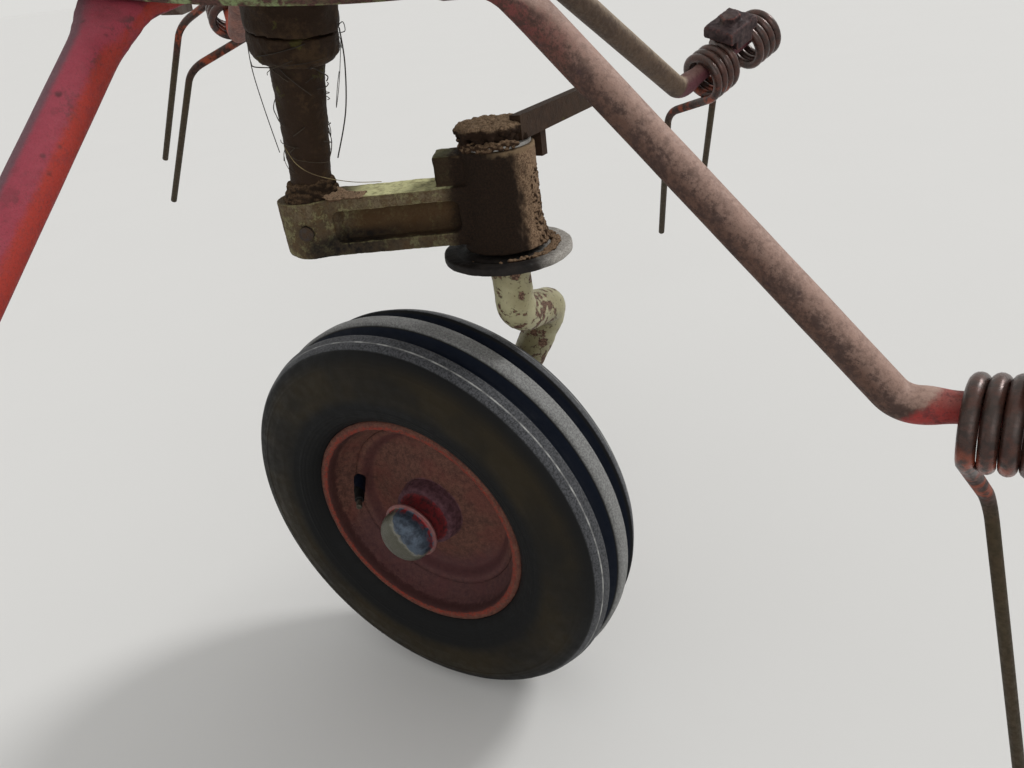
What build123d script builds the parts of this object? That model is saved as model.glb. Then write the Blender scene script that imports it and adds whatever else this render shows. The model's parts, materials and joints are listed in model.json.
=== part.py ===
from build123d import *
import math
import os

os.makedirs("parts", exist_ok=True)

# Hay tedder rotor unit with its ground wheel, in millimetres.
# +Z is up, +X is the direction of travel, +Y runs along the beam that carries the row of rotors.
# The origin is the centre of the left beam flange of the rotor's gearbox.

# Lean of the rotor: its axis leans forward, so that the front tines work lowest.
ROTOR_LEAN = 13.6          # degrees from upright
RUN = 0.5                  # gap between faces that turn against each other
JOURNAL = 0.05             # radial play of a shaft in its bearing

# Gearbox, measured along the rotor axis from the gear centre and along the beam
FLANGE_SPAN = 190.0        # face to face of the two beam flanges
FLANGE_T = 14.0
NECK_R = 46.0
BEAM_BOLT_COUNT = 6
BEAM_BOLT_R = 6.5
# Beam flange table: side, radius, bolt circle, degrees to the first hole
FLANGE_SIDE, FLANGE_R, FLANGE_PCD, FLANGE_START = 0, 1, 2, 3
FLANGES = [(1, 80.0, 126.0, 30.0), (-1, 75.0, 114.0, 0.0)]
BOX_R = 76.0
BOX_BOTTOM = -69.0
BOX_TOP = 50.0
BOX_EDGE = 8.0
COVER_R = 58.0
COVER_T = 10.0
FILLER_R = 11.0
FILLER_LENGTH = 16.0
FILLER_NECK_R = 7.7
FILLER_NECK = 4.0

# Cross shaft that drives the bevel gear inside the gearbox
SHAFT_R = 15.0
SHAFT_HEX = 27.0           # across the flats at its ends
SHAFT_STUB = 26.0          # how far each end stands out of the flange face
SHAFT_COLLAR_R = 21.0
SHAFT_COLLAR_T = 5.0

# Fixed post on the rotor axis
POST_R = 19.0              # bearing journal inside the hub
POST_TOP = -36.0
POST_NECK_R = 20.0         # below the seal cup, tapering to the foot
POST_FOOT_R = 15.5
POST_FOOT = -252.0         # where the taper ends, above the cast arm

# Rotor hub and plate
PLATE_UNDER = -93.5
PLATE_T = 6.0
PLATE_R = 182.0
PLATE_LIP = 16.0           # height of the turned-up rim
HUB_R = 31.8
HUB_BOTTOM = -149.0
HUB_FLANGE_R = 68.0
HUB_FLANGE_T = 11.0
HUB_NECK_R = 36.0
HUB_TOP = -48.0
SEAL_R = 30.5
SEAL_HEIGHT = 20.0
SEAL_ROUND = 9.0
PLATE_BOLT_R = 8.5
PLATE_BOLT_HEAD = 7.0

# Tine arms: tubes bolted under the plate, drooping to a bend with an upturned stub
ARM_R = 10.9
ARM_DROOP = 32.8           # degrees below the rotor plane
ARM_APEX = 10.0            # height where the arm centre lines meet the rotor axis
ARM_BEND_R = 434.6         # radius of the outer bend from the rotor axis
ARM_BEND_FILLET = 19.0
PADDLE_INNER = 78.0        # the flattened inner end, held by two bolts
PADDLE_T = 10.0
PADDLE_BOLTS = (94.0, 126.0)
# Where the flattened end bends down and grows round: distance from the bend, width, thickness, corner radius
ROOT_SECTIONS = [
    (-8.0, 38.0, 10.0, 4.0),
    (9.0, 33.0, 13.0, 6.0),
    (19.0, 26.0, 18.5, 9.0),
]
TUBE_START = 30.0          # from here on it is a round tube
STUB_R = 9.0
STUB_RISE = 21.1           # degrees above the rotor plane
STUB_LENGTH = 139.0
NECK_START = 14.0          # beyond the bend, where it narrows to the stub
NECK_END = 28.0

# Double spring tines, in the frame of the stub: along it, tangential and normal to both
WIRE_R = 4.75
COIL_R = 22.75             # mean radius of the turns
COIL_TURNS = 4
COIL_DROP = 8.9            # coil axis below the stub axis
COIL_1 = 49.9              # first coil centre from the bend
COIL_2 = 117.4
LEG_START_ANGLE = 33.7     # degrees, where the leg leaves the coil
LEG_KINK_RUN = 85.0        # length of the slanting piece
LEG_KINK_IN = 7.0          # how far the two legs lean together
LEG_AT = 16.7              # how far each leg stands off the middle of its coil
LEG_LOWER = (23.4, 58.2, -242.2)
LEG_KINK_FILLET = 50.0
LEG_WIRE_R = 4.6
BRIDGE_SIDE = 13.0         # the wire that joins the two coils passes beside the clamp bolt
CLAMP_LENGTH = 42.0
CLAMP_W = 38.0
CLAMP_TOP = 13.0
CLAMP_FOOT = 24.0
CLAMP_HEAD_R = 9.5
CLAMP_HEAD_T = 7.0

# Arm table: name, azimuth about the rotor axis, turn of its tine about the stub
ARM_FIRST = 16.0
ARM_COUNT = 5
ARM_NAME, ARM_AZIMUTH, TINE_TURN = 0, 1, 2
ARMS = [(str(k + 1), ARM_FIRST + 360.0 / ARM_COUNT * k, -17.0 if k == 0 else 0.0) for k in range(ARM_COUNT)]

# Cast offset arm between the post and the upright swivel axis
CAST_HEADING = 44.3        # degrees from the direction of travel
CAST_LENGTH = 148.8
CAST_MID = -295.0          # where its mid height meets the rotor axis
CAST_HEIGHT = 44.6
CAST_W = 37.0
CAST_WEB = 12.0
CAST_RAIL = 10.0           # thickness of its top and bottom rails
POCKET_START = 19.5        # hollows in its sides, from the post to short of the housing
POCKET_END = 30.8
POCKET_CORNER = 6.0
BOSS_R = 25.5
BOSS_EDGE = 6.0
HOUSING_R = 28.8
HOUSING_FLARE_R = 33.0
HOUSING_FLARE = 20.0
HOUSING_BOTTOM = 3.0       # above the wheel flange
HOUSING_TOP = 78.0
LUG_REACH = 47.0           # of the lug beside the housing, from the swivel axis
LUG_W = 30.0
PLUG_R = 5.5
PLUG_T = 2.5
PLUG_DEPTH = 5.0

# Swivel: spindle in the housing, flange, washer and lever
SWIVEL_DROP = 31.6         # wheel flange below the mid height of the cast arm
SPINDLE_R = 17.0
WHEEL_FLANGE_R = 50.8
WHEEL_FLANGE_T = 7.0
DISH_R = 40.0
DISH_DEPTH = 2.0
WASHER_R = 26.5
WASHER_T = 3.0
LEVER_HEADING = 107.0
LEVER_LENGTH = 150.0
LEVER_HEIGHT = 17.5
LEVER_T = 9.0
LEVER_OFFSET = 19.0        # the bar passes beside the spindle
LEVER_HUB_R = 21.0
LEVER_HUB_T = 9.0
SPINDLE_IN_LEVER = 6.0     # how far the spindle's end stands in that plate
LEVER_EYE_R = 6.5
LEVER_BOSS_R = 12.0
TAB_AT = 38.5              # stop tab below the bar, beside the housing
TAB_HEIGHT = 20.0
TAB_W = 14.0
TAB_T = 8.0

# Cranked leg, in the frame of the swivel: forward, left and up from the wheel flange
WHEEL_STEER = 18.55        # degrees, rolling direction left of the direction of travel
LEG_R = 16.0
LEG_SIDE = 71.0            # crank to the inner side of the wheel
LEG_UPPER_DROP = 60.0
LEG_CRANK_DROP = 81.0
LEG_CRANK_FORWARD = -5.0
LEG_FILLET = 22.0
WHEEL_TRAIL = 102.1
WHEEL_DROP = 265.6
WHEEL_SIDE = -26.5         # wheel middle plane, to the right of the swivel axis
AXLE_R = 12.5
AXLE_CLAMP_R = 21.0
AXLE_CLAMP_W = 40.0

# Wheel, in its own frame: z outwards along the axle, y up
# Outlines are radius and height pairs. The tyre and the rim are the same on both sides.
TYRE_SIDE = [(108.0, 30.0), (114.0, 32.8), (116.0, 35.5), (118.5, 40.0), (123.0, 43.8), (130.0, 46.6),
             (140.0, 49.0), (152.0, 50.4), (165.0, 49.8), (177.0, 47.2), (187.0, 43.3), (190.5, 40.2)]
TYRE_TREAD = [(193.2, 35.4), (196.3, 27.0), (194.0, 25.2), (188.0, 22.0), (187.0, 17.0), (188.0, 13.0),
              (196.5, 9.0), (199.0, 7.4), (199.5, 0.0)]
TYRE_INSIDE = [(90.0, 18.0), (107.0, 18.0), (112.0, 26.0), (126.0, 37.5), (150.0, 42.4), (168.0, 41.0),
               (179.0, 34.0), (180.0, 0.0)]
RIM_HALF_W = 38.0
RIM_SEAT = [(115.0, 35.0), (114.0, 32.8), (110.5, 33.0), (108.0, 30.0), (105.0, 21.0), (96.3, 9.0)]
RIM_FACE = [(112.5, 37.6), (108.5, 38.0), (106.0, 37.0), (103.6, 28.5), (100.8, 21.0), (92.3, 9.0)]
DISC_FACE = [(34.0, 8.2), (40.0, 6.3), (60.0, 1.4), (76.0, -0.6), (80.0, 1.4), (84.0, 6.6), (87.3, 9.0),
             (92.3, 9.8)]
DISC_T = 4.0
COLLAR_R = 34.0            # raised collar of the hub
COLLAR_EDGE_R = 32.0
COLLAR_Z = 22.7
WHEEL_HUB_R = 25.0
WHEEL_HUB_INNER = -50.0
WHEEL_HUB_OUTER = 42.4
CAP_FACE = [(29.5, 42.4), (29.5, 44.6), (26.2, 45.6), (26.0, 53.0), (24.6, 58.6), (20.4, 63.2), (13.0, 65.6)]
CAP_Z = 66.5
VALVE_ANGLE = 171.0
VALVE_FOOT = (89.3, 8.5)   # where its middle line leaves the disc, and where it ends
VALVE_TIP = (61.5, 44.3)
# Valve stem: distance from its foot, radius
VALVE_STEM = [(0.0, 4.4), (22.0, 4.4), (24.0, 3.6), (35.0, 3.4), (35.5, 2.4), (45.3, 2.4)]

# Frames of the moving groups
LEAN_SIN = math.sin(math.radians(ROTOR_LEAN))
LEAN_COS = math.cos(math.radians(ROTOR_LEAN))
GEAR_CENTRE = Vector(0, -FLANGE_SPAN / 2, 0)
ROTOR_AXIS = Vector(LEAN_SIN, 0, LEAN_COS)
ROTOR = Plane(origin=GEAR_CENTRE, x_dir=(LEAN_COS, 0, -LEAN_SIN), z_dir=(LEAN_SIN, 0, LEAN_COS))


def heading(degrees):
    """Level unit vector, turned left from the direction of travel."""
    return Vector(math.cos(math.radians(degrees)), math.sin(math.radians(degrees)), 0)


UP = Vector(0, 0, 1)
BASE = (Align.CENTER, Align.CENTER, Align.MIN)
CAST_POINT = GEAR_CENTRE + ROTOR_AXIS * CAST_MID
SWIVEL_TOP = CAST_POINT + heading(CAST_HEADING) * CAST_LENGTH
SWIVEL_POINT = SWIVEL_TOP - UP * SWIVEL_DROP
CAST = Plane(origin=CAST_POINT, x_dir=heading(CAST_HEADING), z_dir=UP)
SWIVEL = Plane(origin=SWIVEL_POINT, x_dir=heading(WHEEL_STEER), z_dir=UP)
WHEEL_CENTRE = SWIVEL.from_local_coords((-WHEEL_TRAIL, WHEEL_SIDE, -WHEEL_DROP))
WHEEL = Plane(origin=WHEEL_CENTRE, x_dir=heading(WHEEL_STEER), z_dir=heading(WHEEL_STEER - 90))


def cylinder(radius, low, high, at=(0, 0)):
    """Upright cylinder between two heights of the frame it is built in."""
    return Pos(at[0], at[1], low) * Cylinder(radius, high - low, align=BASE)


def ring(outer, inner, low, high):
    return cylinder(outer, low, high) - cylinder(inner, low - 1, high + 1)


def cone(low_radius, high_radius, low, high):
    return Pos(0, 0, low) * Cone(low_radius, high_radius, high - low, align=BASE)


def tube(points, radius, fillets):
    """Round bar along straight runs with rounded corners."""
    path = FilletPolyline(*points, radius=fillets)
    return sweep(Plane(origin=path @ 0, z_dir=path % 0) * Circle(radius), path=path)


def turned(points):
    """Solid of revolution about z from radius and height pairs."""
    outline = Polyline(*[(r, 0, z) for r, z in points], close=True)
    return revolve(make_face(outline), Axis.Z, 360)


def hexagon(across, low, high):
    return Pos(0, 0, low) * extrude(RegularPolygon(across / 2, 6, major_radius=False), high - low)


def save(name, shape, frame=None):
    placed = shape if frame is None else Location(frame) * shape
    solids = placed.solids()
    export_step(Compound(solids) if len(solids) > 1 else solids[0], f"parts/{name}.step")


# Gearbox
def gearbox():
    beam = Rot(90, 0, 0)
    half = FLANGE_SPAN / 2
    body = cylinder(BOX_R, BOX_BOTTOM, BOX_TOP)
    body = fillet(body.edges().filter_by(GeomType.CIRCLE), BOX_EDGE)
    body += beam * cylinder(NECK_R, -half, half)
    for row in FLANGES:
        plate = cylinder(row[FLANGE_R], half - FLANGE_T, half)
        holes = PolarLocations(row[FLANGE_PCD] / 2, BEAM_BOLT_COUNT, row[FLANGE_START])
        plate -= holes * Cylinder(BEAM_BOLT_R, FLANGE_SPAN * 2)
        body += Rot(-90 * row[FLANGE_SIDE], 0, 0) * plate
    body -= cylinder(HUB_NECK_R + RUN, BOX_BOTTOM - 1, HUB_TOP + RUN)
    body -= cylinder(POST_R, BOX_BOTTOM - 1, POST_TOP)
    body -= beam * cylinder(SHAFT_R + JOURNAL, -FLANGE_SPAN, FLANGE_SPAN)
    return body


def gearbox_cover():
    cover = cylinder(COVER_R, BOX_TOP, BOX_TOP + COVER_T)
    return chamfer(cover.edges().group_by(Axis.Z)[-1], 3)


def filler_plug():
    top = BOX_TOP + COVER_T
    neck = cylinder(FILLER_NECK_R, top, top + FILLER_NECK)
    return neck + hexagon(FILLER_R * 2, top + FILLER_NECK, top + FILLER_LENGTH)


def cross_shaft():
    half = FLANGE_SPAN / 2
    shaft = cylinder(SHAFT_R, -half - SHAFT_COLLAR_T, half + SHAFT_COLLAR_T)
    for side in (0, 180):
        end = hexagon(SHAFT_HEX, half + SHAFT_COLLAR_T, half + SHAFT_STUB)
        end += cylinder(SHAFT_COLLAR_R, half + RUN, half + SHAFT_COLLAR_T + RUN)
        shaft += Rot(side, 0, 0) * end
    return Rot(90, 0, 0) * shaft


# Fixed post, its seal cup and the cast arm
def post():
    foot = CAST_MID - CAST_HEIGHT / 2
    bar = cylinder(POST_R, HUB_BOTTOM - RUN, POST_TOP)
    bar += cone(POST_FOOT_R, POST_NECK_R, POST_FOOT, HUB_BOTTOM - RUN)
    bar += cylinder(POST_FOOT_R, foot, POST_FOOT)
    return bar


def seal_cup():
    top = HUB_BOTTOM - RUN
    cup = cylinder(SEAL_R, top - SEAL_HEIGHT, top)
    cup = fillet(cup.edges().group_by(Axis.Z)[0], SEAL_ROUND)
    return cup - post()


def boss_plug():
    side = Location(CAST) * Pos(0, -BOSS_R, 0) * Rot(90, 0, 0)
    return side * cylinder(PLUG_R, -PLUG_DEPTH, PLUG_T)


def cast_arm():
    low, high = -CAST_HEIGHT / 2, CAST_HEIGHT / 2
    length = CAST_LENGTH
    bar = Pos(length / 2, 0, 0) * Box(length, CAST_W, CAST_HEIGHT)
    pocket_depth = (CAST_W - CAST_WEB) / 2
    start, end = POCKET_START, length - POCKET_END
    for side in (-1, 1):
        pocket = Box(end - start, pocket_depth * 2, CAST_HEIGHT - 2 * CAST_RAIL)
        pocket = fillet(pocket.edges().filter_by(Axis.Y), POCKET_CORNER)
        bar -= Pos((start + end) / 2, side * CAST_W / 2, 0) * pocket
    boss = cylinder(BOSS_R, low, high)
    boss = fillet(boss.edges().group_by(Axis.Z)[0], BOSS_EDGE)
    base = SWIVEL_DROP
    barrel = cylinder(HOUSING_R, HOUSING_BOTTOM - base, HOUSING_TOP - base)
    barrel += cone(HOUSING_FLARE_R, HOUSING_R, HOUSING_BOTTOM - base, HOUSING_BOTTOM + HOUSING_FLARE - base)
    lug_high = HOUSING_TOP - 2 - base
    lug = Pos(-LUG_REACH / 2, 0, (high + lug_high) / 2 - 1) * Box(LUG_REACH, LUG_W, lug_high - high + 2)
    lug = fillet(lug.edges().filter_by(Axis.Z), 4)
    body = bar + boss + Pos(length, 0, 0) * (barrel + lug)
    body -= Pos(length, 0, 0) * cylinder(SPINDLE_R + JOURNAL, -base - 5, HOUSING_TOP)
    world = Location(CAST) * body
    world -= Location(ROTOR) * cylinder(POST_FOOT_R, CAST_MID - 90, CAST_MID + 90)
    return world - boss_plug()


# Rotor
def rotor_hub():
    hub = cylinder(HUB_R, HUB_BOTTOM, PLATE_UNDER + PLATE_T + 1)
    top = PLATE_UNDER + PLATE_T
    hub += cylinder(HUB_FLANGE_R, top, top + HUB_FLANGE_T)
    hub += cylinder(HUB_NECK_R, top, HUB_TOP)
    return hub - cylinder(POST_R + JOURNAL, HUB_BOTTOM - 5, HUB_TOP + 5)


def rotor_plate():
    low, r, t = PLATE_UNDER, PLATE_R, PLATE_T
    dish = turned([(HUB_R, low), (r - t, low), (r, low + t), (r, low + PLATE_LIP), (r - t, low + PLATE_LIP),
                   (r - t, low + t), (HUB_R, low + t)])
    return dish


def arm_frame(azimuth):
    return Location(ROTOR) * Rot(0, 0, azimuth)


def arm_point(radius):
    """Point on the drooping centre line of an arm, in its own frame."""
    return Vector(radius, 0, ARM_APEX - radius * math.tan(math.radians(ARM_DROOP)))


BEND = arm_point(ARM_BEND_R)
STUB_DIR = Vector(math.cos(math.radians(STUB_RISE)), 0, math.sin(math.radians(STUB_RISE)))
STUB = Plane(origin=BEND, x_dir=STUB_DIR, z_dir=(-STUB_DIR.Z, 0, STUB_DIR.X))
PADDLE_MID = PLATE_UNDER - PADDLE_T / 2
ROOT_R = (ARM_APEX - PADDLE_MID) / math.tan(math.radians(ARM_DROOP))


def tine_arm():
    """Tube with a flattened inner end, bent down under the plate, then up again to its stub."""
    corner = Vector(ROOT_R, 0, PADDLE_MID)
    droop = (BEND - corner).normalized()
    faces = []
    for at, width, thick, edge in ROOT_SECTIONS:
        along = Vector(1, 0, 0) if at < 0 else droop
        plane = Plane(origin=corner + along * at, x_dir=(0, 1, 0), z_dir=along)
        faces.append(plane * RectangleRounded(width, thick, edge))
    start = Plane(origin=corner + droop * TUBE_START, x_dir=(0, 1, 0), z_dir=droop)
    root = loft(faces + [start * Circle(ARM_R)])
    paddle = extrude(faces[0], PADDLE_INNER - ROOT_R - ROOT_SECTIONS[0][0])
    neck = STUB.from_local_coords((NECK_START, 0, 0))
    pipe = tube([start.origin, BEND, neck], ARM_R, ARM_BEND_FILLET)
    stub = Rot(0, 90, 0) * (Pos(0, 0, NECK_START) * Cone(ARM_R, STUB_R, NECK_END - NECK_START, align=BASE)
                            + cylinder(STUB_R, NECK_END, STUB_LENGTH))
    return pipe + root + paddle + Location(STUB) * stub


def coil(centre):
    """Close-wound coil, one bead to each turn, about an axis along x."""
    first = -(COIL_TURNS - 1) * WIRE_R
    beads = Pos(COIL_R, 0) * Rectangle(WIRE_R * 1.5, -2 * first)
    for turn in range(COIL_TURNS):
        beads += Pos(COIL_R, first + 2 * WIRE_R * turn) * Circle(WIRE_R)
    return Pos(centre, 0, 0) * Rot(0, 90, 0) * revolve(Plane.XZ * beads, Axis.Z, 360)


def tine(turn):
    """Two coils, the wire that joins them and two legs, with the legs turned about the coil axis."""
    end = (COIL_TURNS - 1) * WIRE_R
    angle = math.radians(LEG_START_ANGLE)
    body = coil(0) + coil(COIL_2 - COIL_1)
    start = Vector(0, -COIL_R * math.sin(angle), -COIL_R * math.cos(angle))
    slant = Vector(0, math.cos(angle), -math.sin(angle))
    for along, lean in ((-LEG_AT, LEG_KINK_IN), (COIL_2 - COIL_1 + LEG_AT, -LEG_KINK_IN)):
        foot = start + Vector(along, 0, 0)
        kink = foot + slant * LEG_KINK_RUN + Vector(lean, 0, 0)
        tip = kink + Vector(*LEG_LOWER)
        body += Rot(turn, 0, 0) * tube([foot, kink, tip], LEG_WIRE_R, LEG_KINK_FILLET)
    level = math.sqrt(COIL_R**2 - BRIDGE_SIDE**2)
    bridge = Rot(0, 90, 0) * cylinder(LEG_WIRE_R, end, COIL_2 - COIL_1 - end)
    return body + Pos(0, BRIDGE_SIDE, level) * bridge


def clamp():
    """Block and bolt over the bridge wire, seated on the stub."""
    mid = (COIL_2 - COIL_1) / 2
    seat = COIL_DROP + STUB_R
    outer = COIL_R + WIRE_R + RUN
    block = Pos(mid, 0, outer + CLAMP_TOP / 2) * Box(CLAMP_LENGTH, CLAMP_W, CLAMP_TOP)
    block = fillet(block.edges().group_by(Axis.Z)[-1], 3)
    block += Pos(mid, 0, seat) * Box(CLAMP_FOOT, CLAMP_W, outer - seat + 1, align=BASE)
    level = math.sqrt(COIL_R**2 - BRIDGE_SIDE**2)
    slot = Box(CLAMP_LENGTH, WIRE_R * 2, level + WIRE_R, align=BASE)
    block -= Pos(mid, BRIDGE_SIDE, 0) * slot
    top = outer + CLAMP_TOP
    return block + Pos(mid, 0, 0) * hexagon(CLAMP_HEAD_R * 2, top, top + CLAMP_HEAD_T)


def plate_bolts():
    heads = []
    for row in ARMS:
        for radius in PADDLE_BOLTS:
            head = hexagon(PLATE_BOLT_R * 2, PLATE_UNDER + PLATE_T, PLATE_UNDER + PLATE_T + PLATE_BOLT_HEAD)
            seat = PLATE_UNDER - PADDLE_T
            nut = hexagon(PLATE_BOLT_R * 2, seat - PLATE_BOLT_HEAD, seat)
            heads += [Rot(0, 0, row[ARM_AZIMUTH]) * Pos(radius, 0, 0) * part for part in (head, nut)]
    return Compound([solid for head in heads for solid in head.solids()])


# Swivel
def swivel_spindle():
    return cylinder(SPINDLE_R, 0, HOUSING_TOP + WASHER_T + SPINDLE_IN_LEVER)


def wheel_flange():
    disc = cylinder(WHEEL_FLANGE_R, -WHEEL_FLANGE_T, 0)
    disc = chamfer(disc.edges().filter_by(GeomType.CIRCLE), 1)
    disc -= ring(DISH_R, HOUSING_FLARE_R + 1, -DISH_DEPTH, 1)
    return disc


def swivel_washer():
    return ring(WASHER_R, SPINDLE_R, HOUSING_TOP + RUN, HOUSING_TOP + WASHER_T)


def lever():
    """Flat bar on edge, beside a round plate on the spindle's end, with a stop tab under it."""
    low = HOUSING_TOP + WASHER_T
    mid = low + LEVER_HEIGHT / 2
    bar = Pos(0, -LEVER_OFFSET, low) * Box(LEVER_LENGTH, LEVER_T, LEVER_HEIGHT,
                                           align=(Align.MIN, Align.CENTER, Align.MIN))
    bar += cylinder(LEVER_HUB_R, low, low + LEVER_HUB_T)
    eye = Pos(LEVER_LENGTH, -LEVER_OFFSET, mid) * Rot(90, 0, 0)
    bar += eye * Cylinder(LEVER_BOSS_R, LEVER_T)
    bar -= eye * Cylinder(LEVER_EYE_R, LEVER_T * 4)
    side = TAB_W / 2 - LEVER_OFFSET
    bar += Pos(TAB_AT, side, low - TAB_HEIGHT) * Box(TAB_T, TAB_W, TAB_HEIGHT + LEVER_T, align=BASE)
    bar -= cylinder(SPINDLE_R, low - 1, low + SPINDLE_IN_LEVER)
    return Rot(0, 0, LEVER_HEADING - WHEEL_STEER) * bar


def wheel_leg():
    top = -WHEEL_FLANGE_T
    points = [Vector(0, 0, top), Vector(0, 0, -LEG_UPPER_DROP),
              Vector(LEG_CRANK_FORWARD, LEG_SIDE, -LEG_CRANK_DROP),
              Vector(-WHEEL_TRAIL, LEG_SIDE, -WHEEL_DROP)]
    leg = Location(SWIVEL) * tube(points, LEG_R, LEG_FILLET)
    return leg - Location(WHEEL) * wheel_axle()


def wheel_axle():
    inner = WHEEL_SIDE - LEG_SIDE
    bar = cylinder(AXLE_R, inner, WHEEL_HUB_OUTER - RUN)
    return bar + cylinder(AXLE_CLAMP_R, inner - AXLE_CLAMP_W / 2, inner + AXLE_CLAMP_W / 2)


# Wheel
def mirrored(half):
    """Outline through the given points and on through their images behind the middle plane."""
    return half + [(r, -z) for r, z in reversed(half) if z > 0]


def tyre():
    body = turned(mirrored(TYRE_SIDE + TYRE_TREAD)) - turned(mirrored(TYRE_INSIDE))
    return body - turned([(0, RIM_HALF_W)] + mirrored(RIM_SEAT) + [(0, -RIM_HALF_W)])


def wheel_rim():
    behind = [(r, -z) for r, z in RIM_FACE]
    return turned(mirrored(RIM_SEAT) + behind + list(reversed(RIM_FACE)))


def wheel_disc():
    back = [(r, z - DISC_T) for r, z in reversed(DISC_FACE)]
    return turned(DISC_FACE + back) - valve()


def wheel_hub():
    foot = DISC_FACE[0][1]
    hub = cylinder(WHEEL_HUB_R, WHEEL_HUB_INNER, WHEEL_HUB_OUTER)
    hub += cylinder(COLLAR_R, foot - DISC_T, foot)
    hub += cone(COLLAR_R, COLLAR_EDGE_R, foot, COLLAR_Z)
    return hub - cylinder(AXLE_R + JOURNAL, WHEEL_HUB_INNER - 1, WHEEL_HUB_OUTER + 1)


def hub_cap():
    return turned([(0, CAP_FACE[0][1])] + CAP_FACE + [(0, CAP_Z)])


def valve():
    foot, tip = Vector(VALVE_FOOT[0], 0, VALVE_FOOT[1]), Vector(VALVE_TIP[0], 0, VALVE_TIP[1])
    lean = Plane(origin=foot, x_dir=(0, 1, 0), z_dir=tip - foot)
    profile = [(r, d) for d, r in VALVE_STEM]
    return Rot(0, 0, VALVE_ANGLE) * Location(lean) * turned([(0, 0)] + profile + [(0, profile[-1][1])])


save("gearbox", gearbox(), ROTOR)
save("gearbox_cover", gearbox_cover(), ROTOR)
save("filler_plug", filler_plug(), ROTOR)
save("cross_shaft", cross_shaft(), ROTOR)
save("post", post(), ROTOR)
save("seal_cup", seal_cup(), ROTOR)
save("cast_arm", cast_arm())
save("boss_plug", boss_plug())
save("rotor_hub", rotor_hub(), ROTOR)
save("rotor_plate", rotor_plate(), ROTOR)
save("plate_bolts", plate_bolts(), ROTOR)
arm_shape = tine_arm()
clamp_shape = clamp()
for row in ARMS:
    place = arm_frame(row[ARM_AZIMUTH])
    coil_place = place * Location(STUB) * Pos(COIL_1, 0, -COIL_DROP)
    save("tine_arm_" + row[ARM_NAME], place * arm_shape)
    save("tine_" + row[ARM_NAME], coil_place * tine(row[TINE_TURN]))
    save("tine_clamp_" + row[ARM_NAME], coil_place * clamp_shape)
save("swivel_spindle", swivel_spindle(), SWIVEL)
save("swivel_washer", swivel_washer(), SWIVEL)
save("wheel_flange", wheel_flange(), SWIVEL)
save("lever", lever(), SWIVEL)
save("wheel_leg", wheel_leg())
save("wheel_axle", wheel_axle(), WHEEL)
save("tyre", tyre(), WHEEL)
save("wheel_rim", wheel_rim(), WHEEL)
save("wheel_disc", wheel_disc(), WHEEL)
save("wheel_hub", wheel_hub(), WHEEL)
save("hub_cap", hub_cap(), WHEEL)
save("valve", valve(), WHEEL)
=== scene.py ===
import json
import random
from collections import namedtuple
from math import asin, ceil, copysign, cos, hypot, pi, radians, sin, sqrt, tan

import bpy
from mathutils import Matrix, Vector, noise

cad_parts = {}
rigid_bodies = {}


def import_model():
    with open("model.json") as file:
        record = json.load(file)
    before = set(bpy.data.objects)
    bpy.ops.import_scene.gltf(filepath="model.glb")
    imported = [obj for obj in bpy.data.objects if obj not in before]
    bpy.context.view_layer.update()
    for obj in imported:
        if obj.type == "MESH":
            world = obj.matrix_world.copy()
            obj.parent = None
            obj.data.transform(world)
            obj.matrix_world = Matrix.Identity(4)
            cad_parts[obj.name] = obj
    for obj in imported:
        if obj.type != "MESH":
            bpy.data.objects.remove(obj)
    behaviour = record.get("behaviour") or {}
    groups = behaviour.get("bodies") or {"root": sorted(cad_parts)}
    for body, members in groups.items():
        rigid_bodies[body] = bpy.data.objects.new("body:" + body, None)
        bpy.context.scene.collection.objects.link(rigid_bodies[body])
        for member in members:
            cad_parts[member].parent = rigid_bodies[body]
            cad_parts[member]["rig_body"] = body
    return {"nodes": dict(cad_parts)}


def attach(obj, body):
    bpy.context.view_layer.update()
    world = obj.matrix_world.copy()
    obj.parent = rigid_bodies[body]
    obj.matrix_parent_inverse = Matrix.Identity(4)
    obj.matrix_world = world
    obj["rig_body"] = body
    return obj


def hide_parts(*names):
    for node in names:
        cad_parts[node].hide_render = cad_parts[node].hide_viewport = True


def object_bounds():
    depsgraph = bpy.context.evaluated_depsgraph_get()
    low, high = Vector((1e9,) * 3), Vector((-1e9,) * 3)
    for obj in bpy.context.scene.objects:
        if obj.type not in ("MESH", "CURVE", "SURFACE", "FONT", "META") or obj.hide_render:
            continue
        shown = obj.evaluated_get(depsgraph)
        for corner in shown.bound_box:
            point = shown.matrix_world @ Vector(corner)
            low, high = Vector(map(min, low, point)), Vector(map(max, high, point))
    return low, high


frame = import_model()
cad_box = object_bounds()
NODES = frame["nodes"]
MM = 0.001
TURN = 2 * pi


# Sizes and places are in millimetres until a frame's matrix places them
def heading(degrees):
    """Level unit vector, turned left from the direction of travel."""
    return Vector((cos(radians(degrees)), sin(radians(degrees)), 0))


def turned_to(x, y, z):
    """Matrix that turns the three axes to these unit vectors."""
    return Matrix((x, y, z)).transposed().to_4x4()


def spun(degrees):
    """Matrix that turns a frame about its own z."""
    return Matrix.Rotation(radians(degrees), 4, "Z")


def placing(origin, x, y, z):
    """Matrix from a local frame in millimetres to the shared frame in metres."""
    return Matrix.Scale(MM, 4) @ Matrix.Translation(origin) @ turned_to(x, y, z)


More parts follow.
